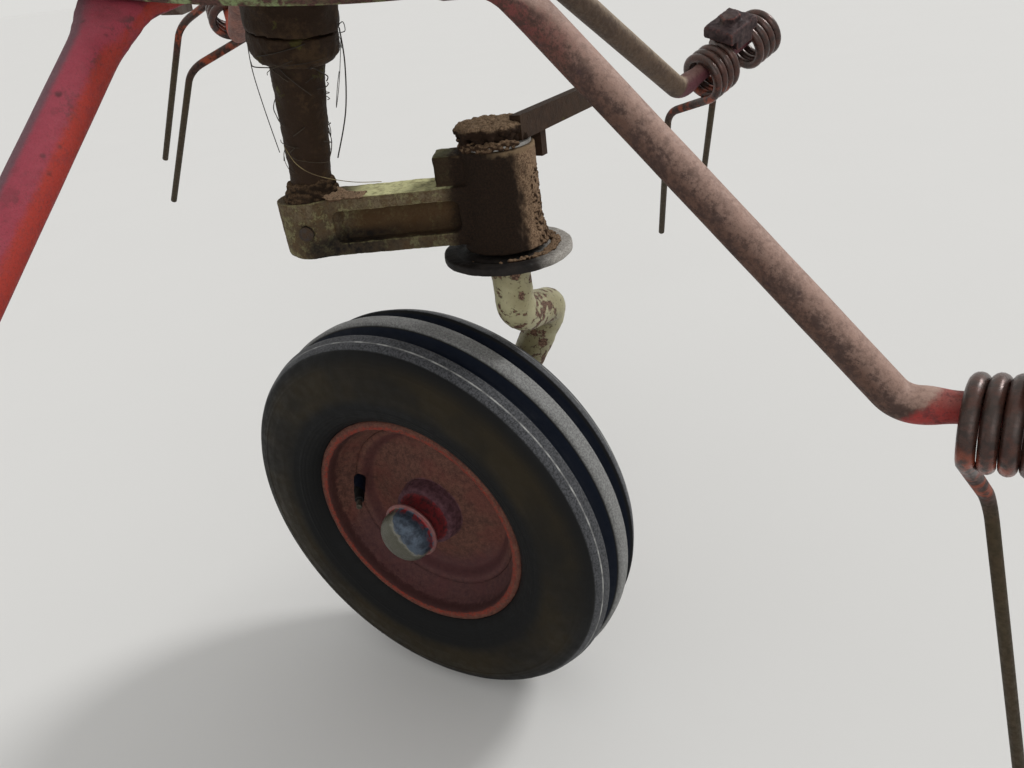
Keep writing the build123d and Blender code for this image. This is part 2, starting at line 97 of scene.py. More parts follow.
ROTOR_LEAN = radians(13.6)
UP = Vector((0, 0, 1))
SUN_SIDE = Vector((0.67, 0.74, 0.0))      # side that faces the light: painted light and shade follow it, and sand and the plate's bare rim lie on it
ROTOR_AXIS = Vector((sin(ROTOR_LEAN), 0, cos(ROTOR_LEAN)))
ROTOR_X = Vector((cos(ROTOR_LEAN), 0, -sin(ROTOR_LEAN)))
GEAR = Vector((0, -95, 0))
CAST_HEADING = 44.3
CAST_LEVEL, CAST_LENGTH, SWIVEL_DROP = 295.0, 148.8, 31.6
CAST_POINT = GEAR - ROTOR_AXIS * CAST_LEVEL
SWIVEL_POINT = CAST_POINT + heading(CAST_HEADING) * CAST_LENGTH - UP * SWIVEL_DROP
STEER = 18.55
TRAIL, SIDE, DROP = 102.1, 26.5, 265.6
WHEEL_CENTRE = SWIVEL_POINT - heading(STEER) * TRAIL - heading(STEER + 90) * SIDE - UP * DROP
ROTOR = placing(GEAR, ROTOR_X, Vector((0, 1, 0)), ROTOR_AXIS)
SWIVEL = placing(SWIVEL_POINT, heading(STEER), heading(STEER + 90), UP)
CAST = placing(CAST_POINT, heading(CAST_HEADING), heading(CAST_HEADING + 90), UP)
AXLE = heading(STEER - 90)
WHEEL = placing(WHEEL_CENTRE, heading(STEER), UP, AXLE)
CAP_STAIN_SIDE = (heading(STEER + 180) * 0.8 - UP * 0.6).normalized()


def linear(paint):
    """Colour as seen on screen, 0 to 255, as the shader takes it. Another socket stays as it is."""
    if isinstance(paint, tuple):
        return tuple(((c / 255 + 0.055) / 1.055) ** 2.4 if c > 10 else c / 255 / 12.92 for c in paint) + (1,)
    return paint


# Materials
RED_FADE, STUB_FADE = 90, 5          # runs over which the root's red ends and the stub's red starts
LEGS_TOP = -272
PLATE_UNDER, PLATE_R, BARE_FROM = -93.5, 182, 26
CAST_HALF_W, CAST_TOP, BOSS_R = 18.5, 22.3, 25.5     # of the offset arm, and of its boss
HOUSING_R = 28.8
HOUSING_TOP = 78.0          # above the wheel flange
HOUSING_LIP = HOUSING_TOP - SWIVEL_DROP     # the same place, above the middle of the offset arm
HOUSING_START = CAST_LENGTH - HOUSING_R
# Radii of the wheel's parts, then distances from its middle plane
HUB_R, DISC_CORNER_R, RIM_EDGE_R, WALL_FROM, WALL_TO, TREAD_R = 34, 82, 108, 136, 188, 196
MIDDLE_RIB, RIB_START, CREST, CAP_FLANGE = 9, 25.6, 34.8, 45.8


class Material:
    """One procedural material, with short calls for the nodes that it needs."""

    def __init__(self, name):
        self.mat = bpy.data.materials.new(name)
        self.mat.use_nodes = True
        self.tree = self.mat.node_tree
        self.tree.nodes.clear()
        self.bsdf = self.add("ShaderNodeBsdfPrincipled")
        out = self.add("ShaderNodeOutputMaterial")
        self.tree.links.new(self.bsdf.outputs[0], out.inputs[0])
        self.coord = self.add("ShaderNodeTexCoord")
        self.colour = None

    def add(self, kind):
        return self.tree.nodes.new(kind)

    def put(self, socket, value):
        if isinstance(value, bpy.types.NodeSocket):
            self.tree.links.new(value, socket)
        else:
            socket.default_value = value

    def noise(self, scale, detail=4.0, rough=0.55, distort=0.0):
        node = self.add("ShaderNodeTexNoise")
        self.put(node.inputs["Vector"], self.coord.outputs["Object"])
        keys = ("Scale", "Detail", "Roughness", "Distortion")
        for key, number in zip(keys, (scale, detail, rough, distort)):
            node.inputs[key].default_value = number
        return node.outputs["Fac"]

    def cells(self, scale):
        """Distance from the middle of the nearest cell."""
        node = self.add("ShaderNodeTexVoronoi")
        self.put(node.inputs["Vector"], self.coord.outputs["Object"])
        node.inputs["Scale"].default_value = scale
        return node.outputs["Distance"]

    def ramp(self, value, low, high, start=0.0, end=1.0):
        """Smooth step from start to end while the value goes from low to high."""
        node = self.add("ShaderNodeMapRange")
        node.interpolation_type = "SMOOTHSTEP"
        self.put(node.inputs["Value"], value)
        for key, number in (("From Min", low), ("From Max", high), ("To Min", start), ("To Max", end)):
            node.inputs[key].default_value = number
        return node.outputs[0]

    def calc(self, operation, a, b=0.0):
        node = self.add("ShaderNodeMath")
        node.operation = operation
        self.put(node.inputs[0], a)
        self.put(node.inputs[1], b)
        return node.outputs[0]

    def times(self, a, b):
        return self.calc("MULTIPLY", a, b)

    def plus(self, a, b):
        return self.calc("ADD", a, b)

    def minus(self, a, b):
        return self.calc("SUBTRACT", a, b)

    def band(self, value, start, full, fading, gone):
        """1 while the value is between full and fading, 0 outside start and gone."""
        return self.times(self.ramp(value, start, full), self.ramp(value, gone, fading))

    def mix(self, share, a, b):
        """Colour a where the share is 0, and b where it is 1."""
        node = self.add("ShaderNodeMix")
        node.data_type = "RGBA"
        self.put(node.inputs[0], share)
        self.put(node.inputs[6], linear(a))
        self.put(node.inputs[7], linear(b))
        return node.outputs[2]

    def vector(self, operation, source, second):
        """Number from the place ("Object") or the direction ("Normal") of a point on the surface."""
        node = self.add("ShaderNodeVectorMath")
        node.operation = operation
        self.put(node.inputs[0], self.coord.outputs[source])
        node.inputs[1].default_value = second
        return node.outputs["Value"]

    def distance(self, point):
        """Distance in millimetres from a point of the shared frame."""
        return self.times(self.vector("DISTANCE", "Object", point * MM), 1 / MM)

    def along(self, direction, origin):
        """Position in millimetres along a direction of the shared frame."""
        place = self.vector("DOT_PRODUCT", "Object", direction)
        return self.minus(self.times(place, 1 / MM), direction.dot(origin))

    def facing(self, direction=UP):
        """How far the surface faces a direction, with the part at rest."""
        return self.vector("DOT_PRODUCT", "Normal", direction)

    def worn(self, low, high):
        """Share of wear on outward edges."""
        node = self.add("ShaderNodeNewGeometry")
        return self.ramp(node.outputs["Pointiness"], low, high)

    def coat(self, share, paint, strength=None):
        """Lays paint over the colour so far, by a share that may be weakened."""
        if strength is not None:
            share = self.times(share, strength)
        self.colour = self.mix(share, self.colour, paint)

    def finish(self, rough, metal=0.0, bump=None, depth=0.3, gloss=0.5):
        """Closes the material. The bump's depth is in millimetres."""
        self.put(self.bsdf.inputs["Base Color"], self.colour)
        self.put(self.bsdf.inputs["Roughness"], rough)
        self.put(self.bsdf.inputs["Metallic"], metal)
        self.put(self.bsdf.inputs["Specular IOR Level"], gloss)
        if bump is not None:
            node = self.add("ShaderNodeBump")
            node.inputs["Strength"].default_value = 1.0
            node.inputs["Distance"].default_value = depth * MM
            self.put(node.inputs["Height"], bump)
            self.tree.links.new(node.outputs[0], self.bsdf.inputs["Normal"])
        return self.mat


def arm_paint(name, top, under, rust, red, stub, red_reach, red_share, mottle, sides=None, stub_from=508):
    """Old paint on an arm tube: pale on top as painted light, dark below as painted shade with more rust
    there, with red left near the root and on the stub.

    red_reach and stub_from are distances from the gearbox, and sides holds the painted light of the lit side
    and the painted shade of the shaded side of an arm that has kept its paint.
    """
    m = Material(name)
    fine, mid, wide = m.noise(1300, 4, 0.75), m.noise(300, 6, 0.72), m.noise(46, 5, 0.65)
    up = m.ramp(m.plus(m.facing(), m.times(wide, 0.5)), 0.1, 1.15)
    # Painted light and shade: the top colour where the tube faces up, the under colour where it faces down
    m.colour = m.mix(up, under, top)
    blotch = m.plus(m.times(mid, 0.5), m.times(wide, 0.65))
    rusted = m.times(m.ramp(blotch, 0.53, 0.66), m.ramp(up, 0.1, 0.9, mottle, mottle * 0.3))
    m.coat(rusted, rust)
    away = m.distance(GEAR)
    near = m.ramp(away, red_reach, red_reach + RED_FADE, 1, 0)
    patchy = m.times(near, m.ramp(blotch, 0.5, 0.64, 1, 1 - red_share))
    m.coat(m.times(patchy, m.ramp(up, 0.3, 1, 1, 0.45)), red)
    dark = m.times(near, m.ramp(m.noise(70, 5, 0.7), 0.54, 0.62, 0, 0.75))
    m.coat(m.times(dark, m.ramp(up, 0.2, 0.9, 1, 0.3)), (74, 42, 44))
    if sides:
        lit_paint, shaded_paint = sides
        # Painted light and shade: the lit colour on the side that faces the light, the shaded one on the
        # side away from it
        lit = m.plus(m.facing(SUN_SIDE), m.times(mid, 0.2))
        m.coat(m.ramp(lit, 0.82, 1.0, 0, 0.9), lit_paint)
        m.coat(m.ramp(lit, 0.22, -0.1, 0, 0.85), shaded_paint)
    mottled = m.ramp(m.noise(170, 6, 0.8), 0.48, 0.6)
    mottled = m.times(mottled, m.ramp(up, 0.15, 0.9, mottle, mottle * 0.25))
    m.coat(mottled, rust, 0.85)
    on_stub = m.ramp(m.plus(away, m.times(mid, 6.0)), stub_from, stub_from + STUB_FADE)
    m.coat(m.times(on_stub, m.ramp(up, 0, 1, 0.97, 0.75)), stub)
    scuffed = m.times(on_stub, m.ramp(m.noise(230, 6, 0.8), 0.48, 0.62, 0, 0.6))
    m.coat(scuffed, (70, 34, 36))
    spots = m.times(m.ramp(m.cells(75), 0.06, 0.16, 1, 0), m.ramp(wide, 0.44, 0.54))
    m.coat(spots, (54, 32, 34), 0.7)
    grit = m.times(m.ramp(fine, 0.5, 0.68), m.ramp(up, 0, 1, 0.5, 0.25))
    m.coat(grit, (62, 40, 34))
    bump = m.plus(m.times(fine, 0.4), mid)
    return m.finish(m.ramp(mid, 0.3, 0.7, 0.5, 0.75), bump=bump, depth=0.4, gloss=0.35)


def spring_steel():
    """Brown wire, greyer where it faces up as painted light, and orange where the legs leave their coils.

    Levels are along the rotor's axis, from the gearbox. The legs leave their coils at about LEGS_TOP.
    """
    m = Material("rusty_spring_wire")
    fine, mid, wide = m.noise(1300, 3, 0.7), m.noise(260, 5, 0.65), m.noise(40, 3)
    up = m.ramp(m.plus(m.facing(), m.times(wide, 0.5)), 0.1, 1.1)
    m.colour = m.mix(m.ramp(mid, 0.38, 0.64), (66, 45, 39), (42, 30, 26))
    # Painted light: grey laid over the upper side of the wire
    m.coat(up, (94, 84, 78), 0.28)
    level = m.along(ROTOR_AXIS, GEAR)
    start = m.band(level, LEGS_TOP - 60, LEGS_TOP - 46, LEGS_TOP - 2, LEGS_TOP + 10)
    red = m.times(m.plus(m.times(start, 0.7), 0.12), m.ramp(m.noise(90, 4, 0.6), 0.45, 0.62))
    m.coat(red, (140, 66, 42))
    low = m.ramp(level, LEGS_TOP - 82, LEGS_TOP - 50, 1, 0)
    m.coat(low, m.mix(mid, (74, 64, 42), (40, 35, 26)), 0.85)
    bump = m.plus(m.times(fine, 0.4), mid)
    dull = m.ramp(level, LEGS_TOP - 33, LEGS_TOP - 10, 1, 0)
    rough = m.plus(m.ramp(mid, 0.3, 0.7, 0.22, 0.4), m.times(dull, 0.3))
    metal, gloss = m.ramp(dull, 0, 1, 0.35, 0.05), m.ramp(dull, 0, 1, 0.5, 0.15)
    return m.finish(rough, metal, bump, 0.2, gloss)


def clamp_iron(name, bright, dark):
    """Rusty clamp plates, with lighter edges."""
    m = Material(name)
    mid = m.noise(160, 5, 0.6)
    m.colour = m.mix(m.ramp(mid, 0.4, 0.62), bright, dark)
    m.coat(m.worn(0.51, 0.56), (136, 80, 70), 0.4)
    m.coat(m.ramp(m.noise(50), 0.55, 0.68, 0, 0.3), (112, 92, 82))
    bump = m.plus(mid, m.times(m.noise(900, 2), 0.4))
    return m.finish(0.6, 0.05, bump, 0.6, 0.2)


def green_paint(name, paint, shade, chip, chips=0.6, bare_side=None):
    """Paint with chips down to brown rust, worn more along its edges.

    With bare_side, the rim of the rotor plate is brown all over on that side.
    """
    m = Material(name)
    fine, mid, wide = m.noise(800, 3), m.noise(120, 6, 0.65, 0.3), m.noise(22, 4, 0.6)
    m.colour = m.mix(m.ramp(wide, 0.35, 0.65), paint, shade)
    m.coat(m.ramp(mid, 0.3, 0.7), (150, 150, 110), 0.3)
    patches = m.plus(mid, m.times(m.noise(35, 3), 0.5))
    lost = m.ramp(patches, chips + 0.27, chips + 0.31)
    edge = m.times(m.worn(0.515, 0.56), m.ramp(mid, 0.4, 0.55))
    lost = m.calc("MAXIMUM", lost, edge)
    if bare_side:
        out = m.distance(GEAR + ROTOR_AXIS * PLATE_UNDER)
        past = m.ramp(m.plus(m.along(bare_side, GEAR), m.times(mid, 8.0)), BARE_FROM, BARE_FROM + 4)
        bare = m.times(past, m.ramp(out, PLATE_R - 8, PLATE_R - 4, 0, 0.9))
        lost = m.calc("MAXIMUM", lost, bare)
    m.coat(lost, m.mix(m.ramp(fine, 0.4, 0.6), chip, (58, 38, 30)))
    speck = m.times(m.ramp(m.noise(420, 3, 0.6), 0.6, 0.66), m.ramp(wide, 0.35, 0.6, 0.25, 0.8))
    m.coat(speck, (82, 62, 46))
    bump = m.minus(m.times(fine, 0.3), lost)
    return m.finish(m.ramp(lost, 0, 1, 0.5, 0.8), bump=bump, depth=0.35, gloss=0.35)


def greasy_iron(name, dark, dirt, share):
    """Iron under grease and caked dirt."""
    m = Material(name)
    fine, mid, wide = m.noise(700, 4, 0.7), m.noise(170, 6, 0.7), m.noise(32, 4, 0.6)
    m.colour = m.mix(m.ramp(mid, 0.35, 0.65), dark, (46, 32, 22))
    cake = m.plus(m.times(wide, 0.6), m.times(mid, 0.5))
    cake = m.ramp(cake, 0.56, 0.7, 0, share)
    m.coat(cake, m.mix(fine, dirt, (74, 58, 44)))
    moss = m.times(m.ramp(m.noise(60, 5, 0.6), 0.62, 0.68), 0.35)
    m.coat(moss, (92, 94, 40))
    bump = m.plus(m.times(fine, 0.6), mid)
    return m.finish(m.ramp(cake, 0, 1, 0.68, 0.95), bump=bump, depth=0.9, gloss=0.15)


def earth(name, dark, light, dust, crust=None):
    """Dry earth: the light colour on top and the dark one below as painted light and shade, darker in noise
    patches, and dusty on top. Crust is the level where its top starts.
    """
    m = Material(name)
    fine, mid = m.noise(900, 5, 0.75), m.noise(210, 6, 0.7)
    up = m.ramp(m.facing(), -0.2, 0.75)
    if crust:
        up = m.times(up, m.ramp(m.along(UP, SWIVEL_POINT), crust - 4, crust))
    # Painted light and shade: the light colour where the earth faces up, the dark colour where it faces down
    # and in noise patches
    deep = m.plus(m.ramp(mid, 0.35, 0.62), m.minus(0.6, up))
    m.colour = m.mix(m.ramp(deep, 0, 1), light, dark)
    m.coat(m.times(m.ramp(fine, 0.36, 0.6), up), dust)
    m.coat(m.ramp(m.noise(380, 3), 0.6, 0.66, 0, 0.7), (44, 30, 22))
    bump = m.plus(fine, m.times(mid, 1.5))
    return m.finish(0.95, bump=bump, depth=1.2, gloss=0.1)


def old_casting():
    """Paint on the offset arm, brown in its recess, its pale top made lighter as painted light, and the
    greasy housing, sand-coloured on the side facing the light and near-black on the other, partly painted
    light and shade.
    """
    m = Material("olive_casting")
    fine, mid, wide = m.noise(800, 4, 0.7), m.noise(150, 6, 0.7), m.noise(30, 4, 0.6)
    out = m.along(heading(CAST_HEADING), CAST_POINT)
    side = m.calc("ABSOLUTE", m.along(heading(CAST_HEADING + 90), CAST_POINT))
    height = m.along(UP, CAST_POINT)
    m.colour = m.mix(m.ramp(wide, 0.35, 0.65), (107, 95, 75), (80, 68, 52))
    m.coat(m.ramp(mid, 0.42, 0.64, 0, 0.8), (86, 68, 46))
    moss = m.ramp(m.noise(85, 6, 0.8), 0.5, 0.6, 0, 0.65)
    m.coat(moss, (126, 122, 88))
    m.coat(m.ramp(m.noise(480, 5, 0.8), 0.47, 0.6, 0, 0.55), (62, 48, 36))
    recess = m.ramp(side, CAST_HALF_W - 5.5, CAST_HALF_W - 1, 1, 0)
    recess = m.times(recess, m.ramp(out, BOSS_R - 1.5, BOSS_R + 14.5))
    m.coat(m.times(recess, m.ramp(mid, 0.3, 0.6, 0.95, 0.7)), (68, 49, 29))
    low = m.ramp(m.plus(height, m.times(wide, 20.0)), 1, 12, 1, 0)
    stain = m.times(low, m.times(m.ramp(out, -14, 6), m.ramp(out, 40, 80, 1, 0.4)))
    m.coat(m.times(stain, m.ramp(mid, 0.35, 0.6, 1, 0.7)), (26, 22, 20))
    # Pale paint on the arm's top, made lighter where it faces up as painted light
    top = m.times(m.ramp(m.facing(), 0.6, 0.9), m.ramp(mid, 0.4, 0.7, 1, 0.35))
    top = m.times(top, m.ramp(height, CAST_TOP - 8.3, CAST_TOP - 3.3))
    top = m.times(top, m.ramp(out, BOSS_R - 3.5, BOSS_R + 22.5))
    m.coat(top, (216, 214, 162))
    m.coat(m.worn(0.52, 0.57), (164, 158, 112), 0.4)
    near = m.plus(out, m.times(mid, 18.0))
    lug = m.ramp(near, HOUSING_START - 22, HOUSING_START - 12, 0, 0.8)
    lug = m.times(m.ramp(height, CAST_TOP - 1.3, CAST_TOP + 2.7), lug)
    grime_lit_and_shaded = m.calc("MAXIMUM", m.ramp(near, HOUSING_START - 8, HOUSING_START + 6), lug)
    # Round the housing: sand-coloured where it faces the light and near-black where it faces away, partly
    # painted light and shade over real sand and grease
    lit = m.plus(m.facing(SUN_SIDE), m.times(wide, 0.6))
    dark = m.mix(m.ramp(fine, 0.3, 0.7), (24, 17, 12), (42, 30, 21))
    sand = m.mix(m.ramp(fine, 0.4, 0.6), (140, 116, 92), (88, 68, 52))
    m.coat(grime_lit_and_shaded, m.mix(m.ramp(lit, 0.65, 1.1), dark, sand))
    # The lip's light brown is laid mostly on the side that faces the light, partly painted light
    lip = m.ramp(m.plus(height, m.times(mid, 10.0)), HOUSING_LIP + 0.6, HOUSING_LIP + 4.6)
    lip = m.times(lip, m.ramp(near, HOUSING_START - 2, HOUSING_START + 10))
    m.coat(m.times(lip, m.ramp(lit, -0.1, 0.7, 0, 0.8)), (124, 104, 80))
    bump = m.plus(m.times(fine, 0.5), mid)
    return m.finish(0.88, bump=bump, depth=0.8, gloss=0.15)


def flange_iron():
    """Dark swivel flange, with painted light: grey round the side of its rim that faces the light."""
    m = Material("flange_iron")
    fine, mid = m.noise(900, 4, 0.7), m.noise(120, 6, 0.65)
    m.colour = m.mix(m.ramp(mid, 0.35, 0.65), (34, 29, 26), (20, 17, 16))
    # Painted light: grey on the rim on the side that faces the light
    lit = m.along(SUN_SIDE, SWIVEL_POINT)
    lit_rim = m.ramp(m.plus(lit, m.times(mid, 24.0)), 30, 52)
    grey = m.mix(m.ramp(fine, 0.35, 0.65), (176, 172, 164), (118, 112, 106))
    m.coat(lit_rim, grey)
    return m.finish(0.65, 0.05, m.plus(mid, m.times(fine, 0.5)), 0.5, 0.2)


def steel(name, shade, tint, rough, metal=0.85):
    """Bare metal with a few brown spots."""
    m = Material(name)
    fine, mid = m.noise(1300, 3), m.noise(120, 6, 0.65)
    m.colour = m.mix(m.ramp(mid, 0.42, 0.66), shade, tint)
    m.coat(m.ramp(m.noise(50, 4), 0.58, 0.7, 0, 0.7), (96, 66, 50))
    return m.finish(m.ramp(mid, 0.3, 0.7, rough, rough + 0.3), metal, fine, 0.15)


def wheel_radius(m):
    """Distances in millimetres from the axle and from the middle plane of the wheel."""
    away = m.distance(WHEEL_CENTRE)
    across = m.calc("ABSOLUTE", m.along(AXLE, WHEEL_CENTRE))
    square = m.minus(m.times(away, away), m.times(across, across))
    return m.calc("SQRT", m.calc("MAXIMUM", square, 1.0)), across


def rubber():
    """Old tyre: nearly black, grey on its ribs with a painted highlight on the middle rib and a painted
    highlight line along the shoulder, painted blue shade in its grooves, and a brown bloom on its sides.
    """
    m = Material("worn_tyre")
    fine, mid, wide = m.noise(1500, 3), m.noise(90, 5, 0.6), m.noise(14, 3)
    radius, across = wheel_radius(m)
    m.colour = m.mix(m.ramp(mid, 0.3, 0.7), (10, 11, 12), (18, 18, 18))
    bloom = m.band(radius, WALL_FROM, WALL_FROM + 14, WALL_TO - 16, WALL_TO)
    bloom = m.times(bloom, m.ramp(wide, 0.35, 0.65, 0.25, 0.85))
    m.coat(bloom, (41, 34, 20))
    # Painted shade: a dark blue tint in the grooves
    groove = m.times(m.ramp(across, RIB_START, RIB_START - 1), m.ramp(radius, TREAD_R, TREAD_R - 1))
    m.coat(groove, (10, 18, 32))
    speck = m.ramp(m.noise(560, 5, 0.85), 0.42, 0.58)
    shoulder = m.ramp(across, RIB_START + 0.4, RIB_START + 1.4)
    shoulder = m.times(m.ramp(radius, TREAD_R - 7.5, TREAD_R - 6), shoulder)
    m.coat(m.times(shoulder, m.ramp(speck, 0, 1, 0.35, 1)), (82, 83, 86))
    # Painted highlight: a thin pale line along the top of the shoulder
    crest_highlight = m.band(across, CREST - 0.9, CREST - 0.3, CREST + 0.3, CREST + 0.9)
    crest_highlight = m.times(crest_highlight, m.ramp(radius, TREAD_R - 7, TREAD_R - 4))
    m.coat(m.times(crest_highlight, m.ramp(mid, 0.4, 0.65, 0.2, 0.8)), (176, 176, 172))
    # Grey worn middle rib, made lighter here as a painted highlight
    middle = m.ramp(across, MIDDLE_RIB + 0.4, MIDDLE_RIB - 0.6)
    middle = m.times(middle, m.ramp(radius, TREAD_R - 1, TREAD_R + 1))
    m.coat(m.times(middle, m.ramp(speck, 0, 1, 0.55, 1)), (132, 132, 130))
    m.coat(m.ramp(m.noise(420, 4, 0.7), 0.68, 0.76, 0, 0.4), (90, 84, 72))
    bump = m.plus(m.times(fine, 0.6), mid)
    return m.finish(m.ramp(mid, 0.3, 0.7, 0.5, 0.7), bump=bump, depth=0.2, gloss=0.14)


def rusty_rim():
    """Rim and disc: orange-red left on the rolled edge, red round the hub, brown rust between."""
    m = Material("rusty_rim")
    fine, mid, wide = m.noise(1100, 4, 0.75), m.noise(210, 6, 0.75), m.noise(26, 4, 0.6)
    radius, _ = wheel_radius(m)
    grit = m.ramp(m.plus(m.times(fine, 0.5), m.times(mid, 0.5)), 0.4, 0.6)
    m.colour = m.mix(grit, (104, 68, 56), (62, 38, 32))
    m.coat(m.ramp(wide, 0.44, 0.62, 0, 0.4), (98, 48, 42))
    shade = m.plus(m.along(UP, WHEEL_CENTRE), m.times(wide, 60.0))
    low = m.times(m.ramp(shade, 20, -30), m.ramp(radius, DISC_CORNER_R - 26, DISC_CORNER_R - 8))
    m.coat(low, (70, 42, 48), 0.55)
    # Painted shade: a dark band round the step of the disc near its rim
    corner = m.band(radius, DISC_CORNER_R - 6, DISC_CORNER_R - 2, DISC_CORNER_R + 2, DISC_CORNER_R + 6)
    m.coat(corner, (66, 32, 34), 0.6)
    edge = m.minus(m.plus(radius, m.times(mid, 4.0)), RIM_EDGE_R)
    ragged = m.ramp(m.noise(430, 6, 0.85), 0.46, 0.55, 1.0, 0.12)
    m.coat(m.ramp(edge, -0.2, 1), m.mix(grit, (104, 72, 58), (66, 38, 30)))
    lip = m.times(m.ramp(edge, -0.6, 0.6), m.ramp(edge, 6.5, 2.5, 0.2, 1))
    m.coat(m.times(lip, ragged), (126, 39, 23))
    flakes = m.times(m.ramp(m.noise(480, 6, 0.85), 0.5, 0.58, 0, 0.8), m.ramp(edge, -2, 0))
    m.coat(flakes, (64, 38, 32))
    # Painted shade: a dark line in the crease inside the rolled edge
    crease = m.band(edge, -3.4, -2, 0, 1)
    m.coat(crease, (52, 22, 20), 0.8)
    wander = m.minus(m.plus(radius, m.times(mid, 5.0)), HUB_R)
    purple = m.mix(m.ramp(mid, 0.4, 0.6), (88, 58, 66), (62, 34, 42))
    m.coat(m.ramp(wander, 4.5, 2, 0, 0.9), purple)
    red = m.mix(m.ramp(mid, 0.4, 0.62), (104, 22, 26), (54, 17, 21))
    m.coat(m.ramp(wander, -3, -5), red)
    bump = m.plus(m.times(fine, 0.7), mid)
    return m.finish(0.8, bump=bump, depth=0.6, gloss=0.3)


def dull_cap():
    """Grease cap: blue-grey steel with an olive stain low on one side, a painted highlight line along the
    stain's edge, and red left near its flange.
    """
    m = Material("dull_cap_steel")
    fine, mid = m.noise(900, 4, 0.7), m.noise(120, 6, 0.7)
    across = m.along(AXLE, WHEEL_CENTRE)
    m.colour = m.mix(m.ramp(mid, 0.4, 0.62), (70, 82, 96), (42, 50, 62))
    low = m.plus(m.along(CAP_STAIN_SIDE, WHEEL_CENTRE), m.times(mid, 14.0))
    stain = m.ramp(low, -2, 2)
    # Painted highlight: a light line along the edge of the stain
    m.coat(m.ramp(low, -4, -2), (128, 124, 108), 0.7)
    m.coat(stain, m.mix(fine, (88, 86, 70), (52, 52, 44)), 0.9)
    base = m.plus(across, m.times(mid, 16.0))
    patches = m.ramp(m.noise(160, 4, 0.6), 0.46, 0.54)
    red = m.times(m.ramp(base, CAP_FLANGE + 16.2, CAP_FLANGE + 9.2), patches)
    m.coat(red, (140, 34, 32), 0.85)
    flange = m.ramp(across, CAP_FLANGE + 0.4, CAP_FLANGE - 0.4)
    m.coat(flange, m.mix(mid, (138, 96, 92), (96, 48, 48)), 0.9)
    return m.finish(m.ramp(mid, 0.3, 0.7, 0.3, 0.55), 0.4, m.plus(mid, fine), 0.35)


def straw(name, pale, dark, grease):
    """Dry stems, with a share of dark grease over them."""
    m = Material(name)
    m.colour = m.mix(m.ramp(m.noise(60, 2), 0.4, 0.6), pale, dark)
    m.coat(grease, (30, 22, 16))
    return m.finish(0.7, bump=m.noise(1500, 2), depth=0.1)


ARM_PAINTS = {
    "1": arm_paint("arm_brown", (172, 142, 128), (88, 62, 50), (56, 38, 32), (112, 52, 50), (150, 48, 44),
        red_reach=190, red_share=0.88, mottle=0.9, stub_from=517),
    "2": arm_paint("arm_tan", (164, 146, 124), (86, 68, 52), (66, 50, 38), (124, 60, 58), (90, 46, 54),
        red_reach=150, red_share=0.5, mottle=0.8),
    "3": arm_paint("arm_pink", (160, 116, 100), (124, 74, 58), (86, 52, 42), (150, 58, 50), (168, 66, 44),
        red_reach=230, red_share=0.6, mottle=0.8),
    "4": arm_paint("arm_dull", (158, 126, 114), (104, 72, 60), (72, 46, 38), (138, 54, 50), (160, 56, 46),
        red_reach=220, red_share=0.6, mottle=0.9),
    "5": arm_paint("arm_red", (150, 62, 76), (140, 50, 62), (104, 42, 50), (144, 50, 64), (150, 48, 44),
        red_reach=300, red_share=0.4, mottle=0.35, sides=((158, 46, 30), (92, 68, 76))),
}
WIRE = spring_steel()
FORGING = clamp_iron("rusty_forging", (70, 56, 56), (46, 35, 36))
TAN_FORGING = clamp_iron("orange_forging", (164, 96, 68), (116, 68, 52))
# Painted light: a brighter copy of the orange forging, as if in sunlight, for the clamp of arm 3
SUNLIT_FORGING = clamp_iron("tan_forging", (204, 116, 74), (164, 92, 60))
PLATE_PAINT = green_paint("sage_plate", (128, 146, 96), (112, 128, 80), (84, 54, 48), 0.72, SUN_SIDE)
BOX_PAINT = green_paint("green_gearbox", (104, 128, 70), (84, 104, 56), (92, 66, 48))
LEG_PAINT = green_paint("olive_leg", (162, 156, 124), (134, 126, 94), (118, 90, 72), 0.5)
FLANGE_IRON = flange_iron()
POST_IRON = greasy_iron("greasy_post", (46, 32, 20), (92, 72, 48), 0.5)
HOUSING_IRON = old_casting()
DARK_IRON = greasy_iron("dark_iron", (62, 58, 56), (92, 78, 64), 0.5)
LEVER_IRON = greasy_iron("brown_lever", (58, 41, 29), (78, 62, 42), 0.5)
EARTH = earth("dry_earth", (58, 43, 32), (104, 82, 64), (140, 116, 92))
CLOD_TOP = 94.0
CLOD = earth("crusted_earth", (44, 32, 24), (92, 72, 57), (152, 128, 102), CLOD_TOP)
SAND = earth("tan_sand", (92, 72, 56), (134, 110, 88), (166, 140, 114))
DARK_EARTH = earth("greasy_earth", (42, 32, 24), (70, 54, 40), (104, 84, 64))
BRIGHT = steel("rubbed_steel", (150, 148, 144), (110, 106, 102), 0.3)
BOLT = steel("bolt_steel", (116, 104, 96), (86, 66, 56), 0.4, 0.6)
RUBBER = rubber()
RIM_RUST = rusty_rim()
CAP_STEEL = dull_cap()
DULL_METAL = steel("dull_metal", (96, 92, 84), (62, 56, 48), 0.4)
STRAW = straw("dry_straw", (140, 124, 84), (100, 84, 56), 0.0)
DARK_STRAW = straw("greasy_straw", (80, 64, 40), (46, 34, 22), 0.5)
BLACK_STRAW = straw("black_straw", (40, 32, 24), (26, 20, 16), 0.4)


# Meshes
def linked(name, data):
    """New object in the scene."""
    obj = bpy.data.objects.new(name, data)
    bpy.context.scene.collection.objects.link(obj)
    return obj


def smooth(mesh):
    mesh.polygons.foreach_set("use_smooth", [True] * len(mesh.polygons))


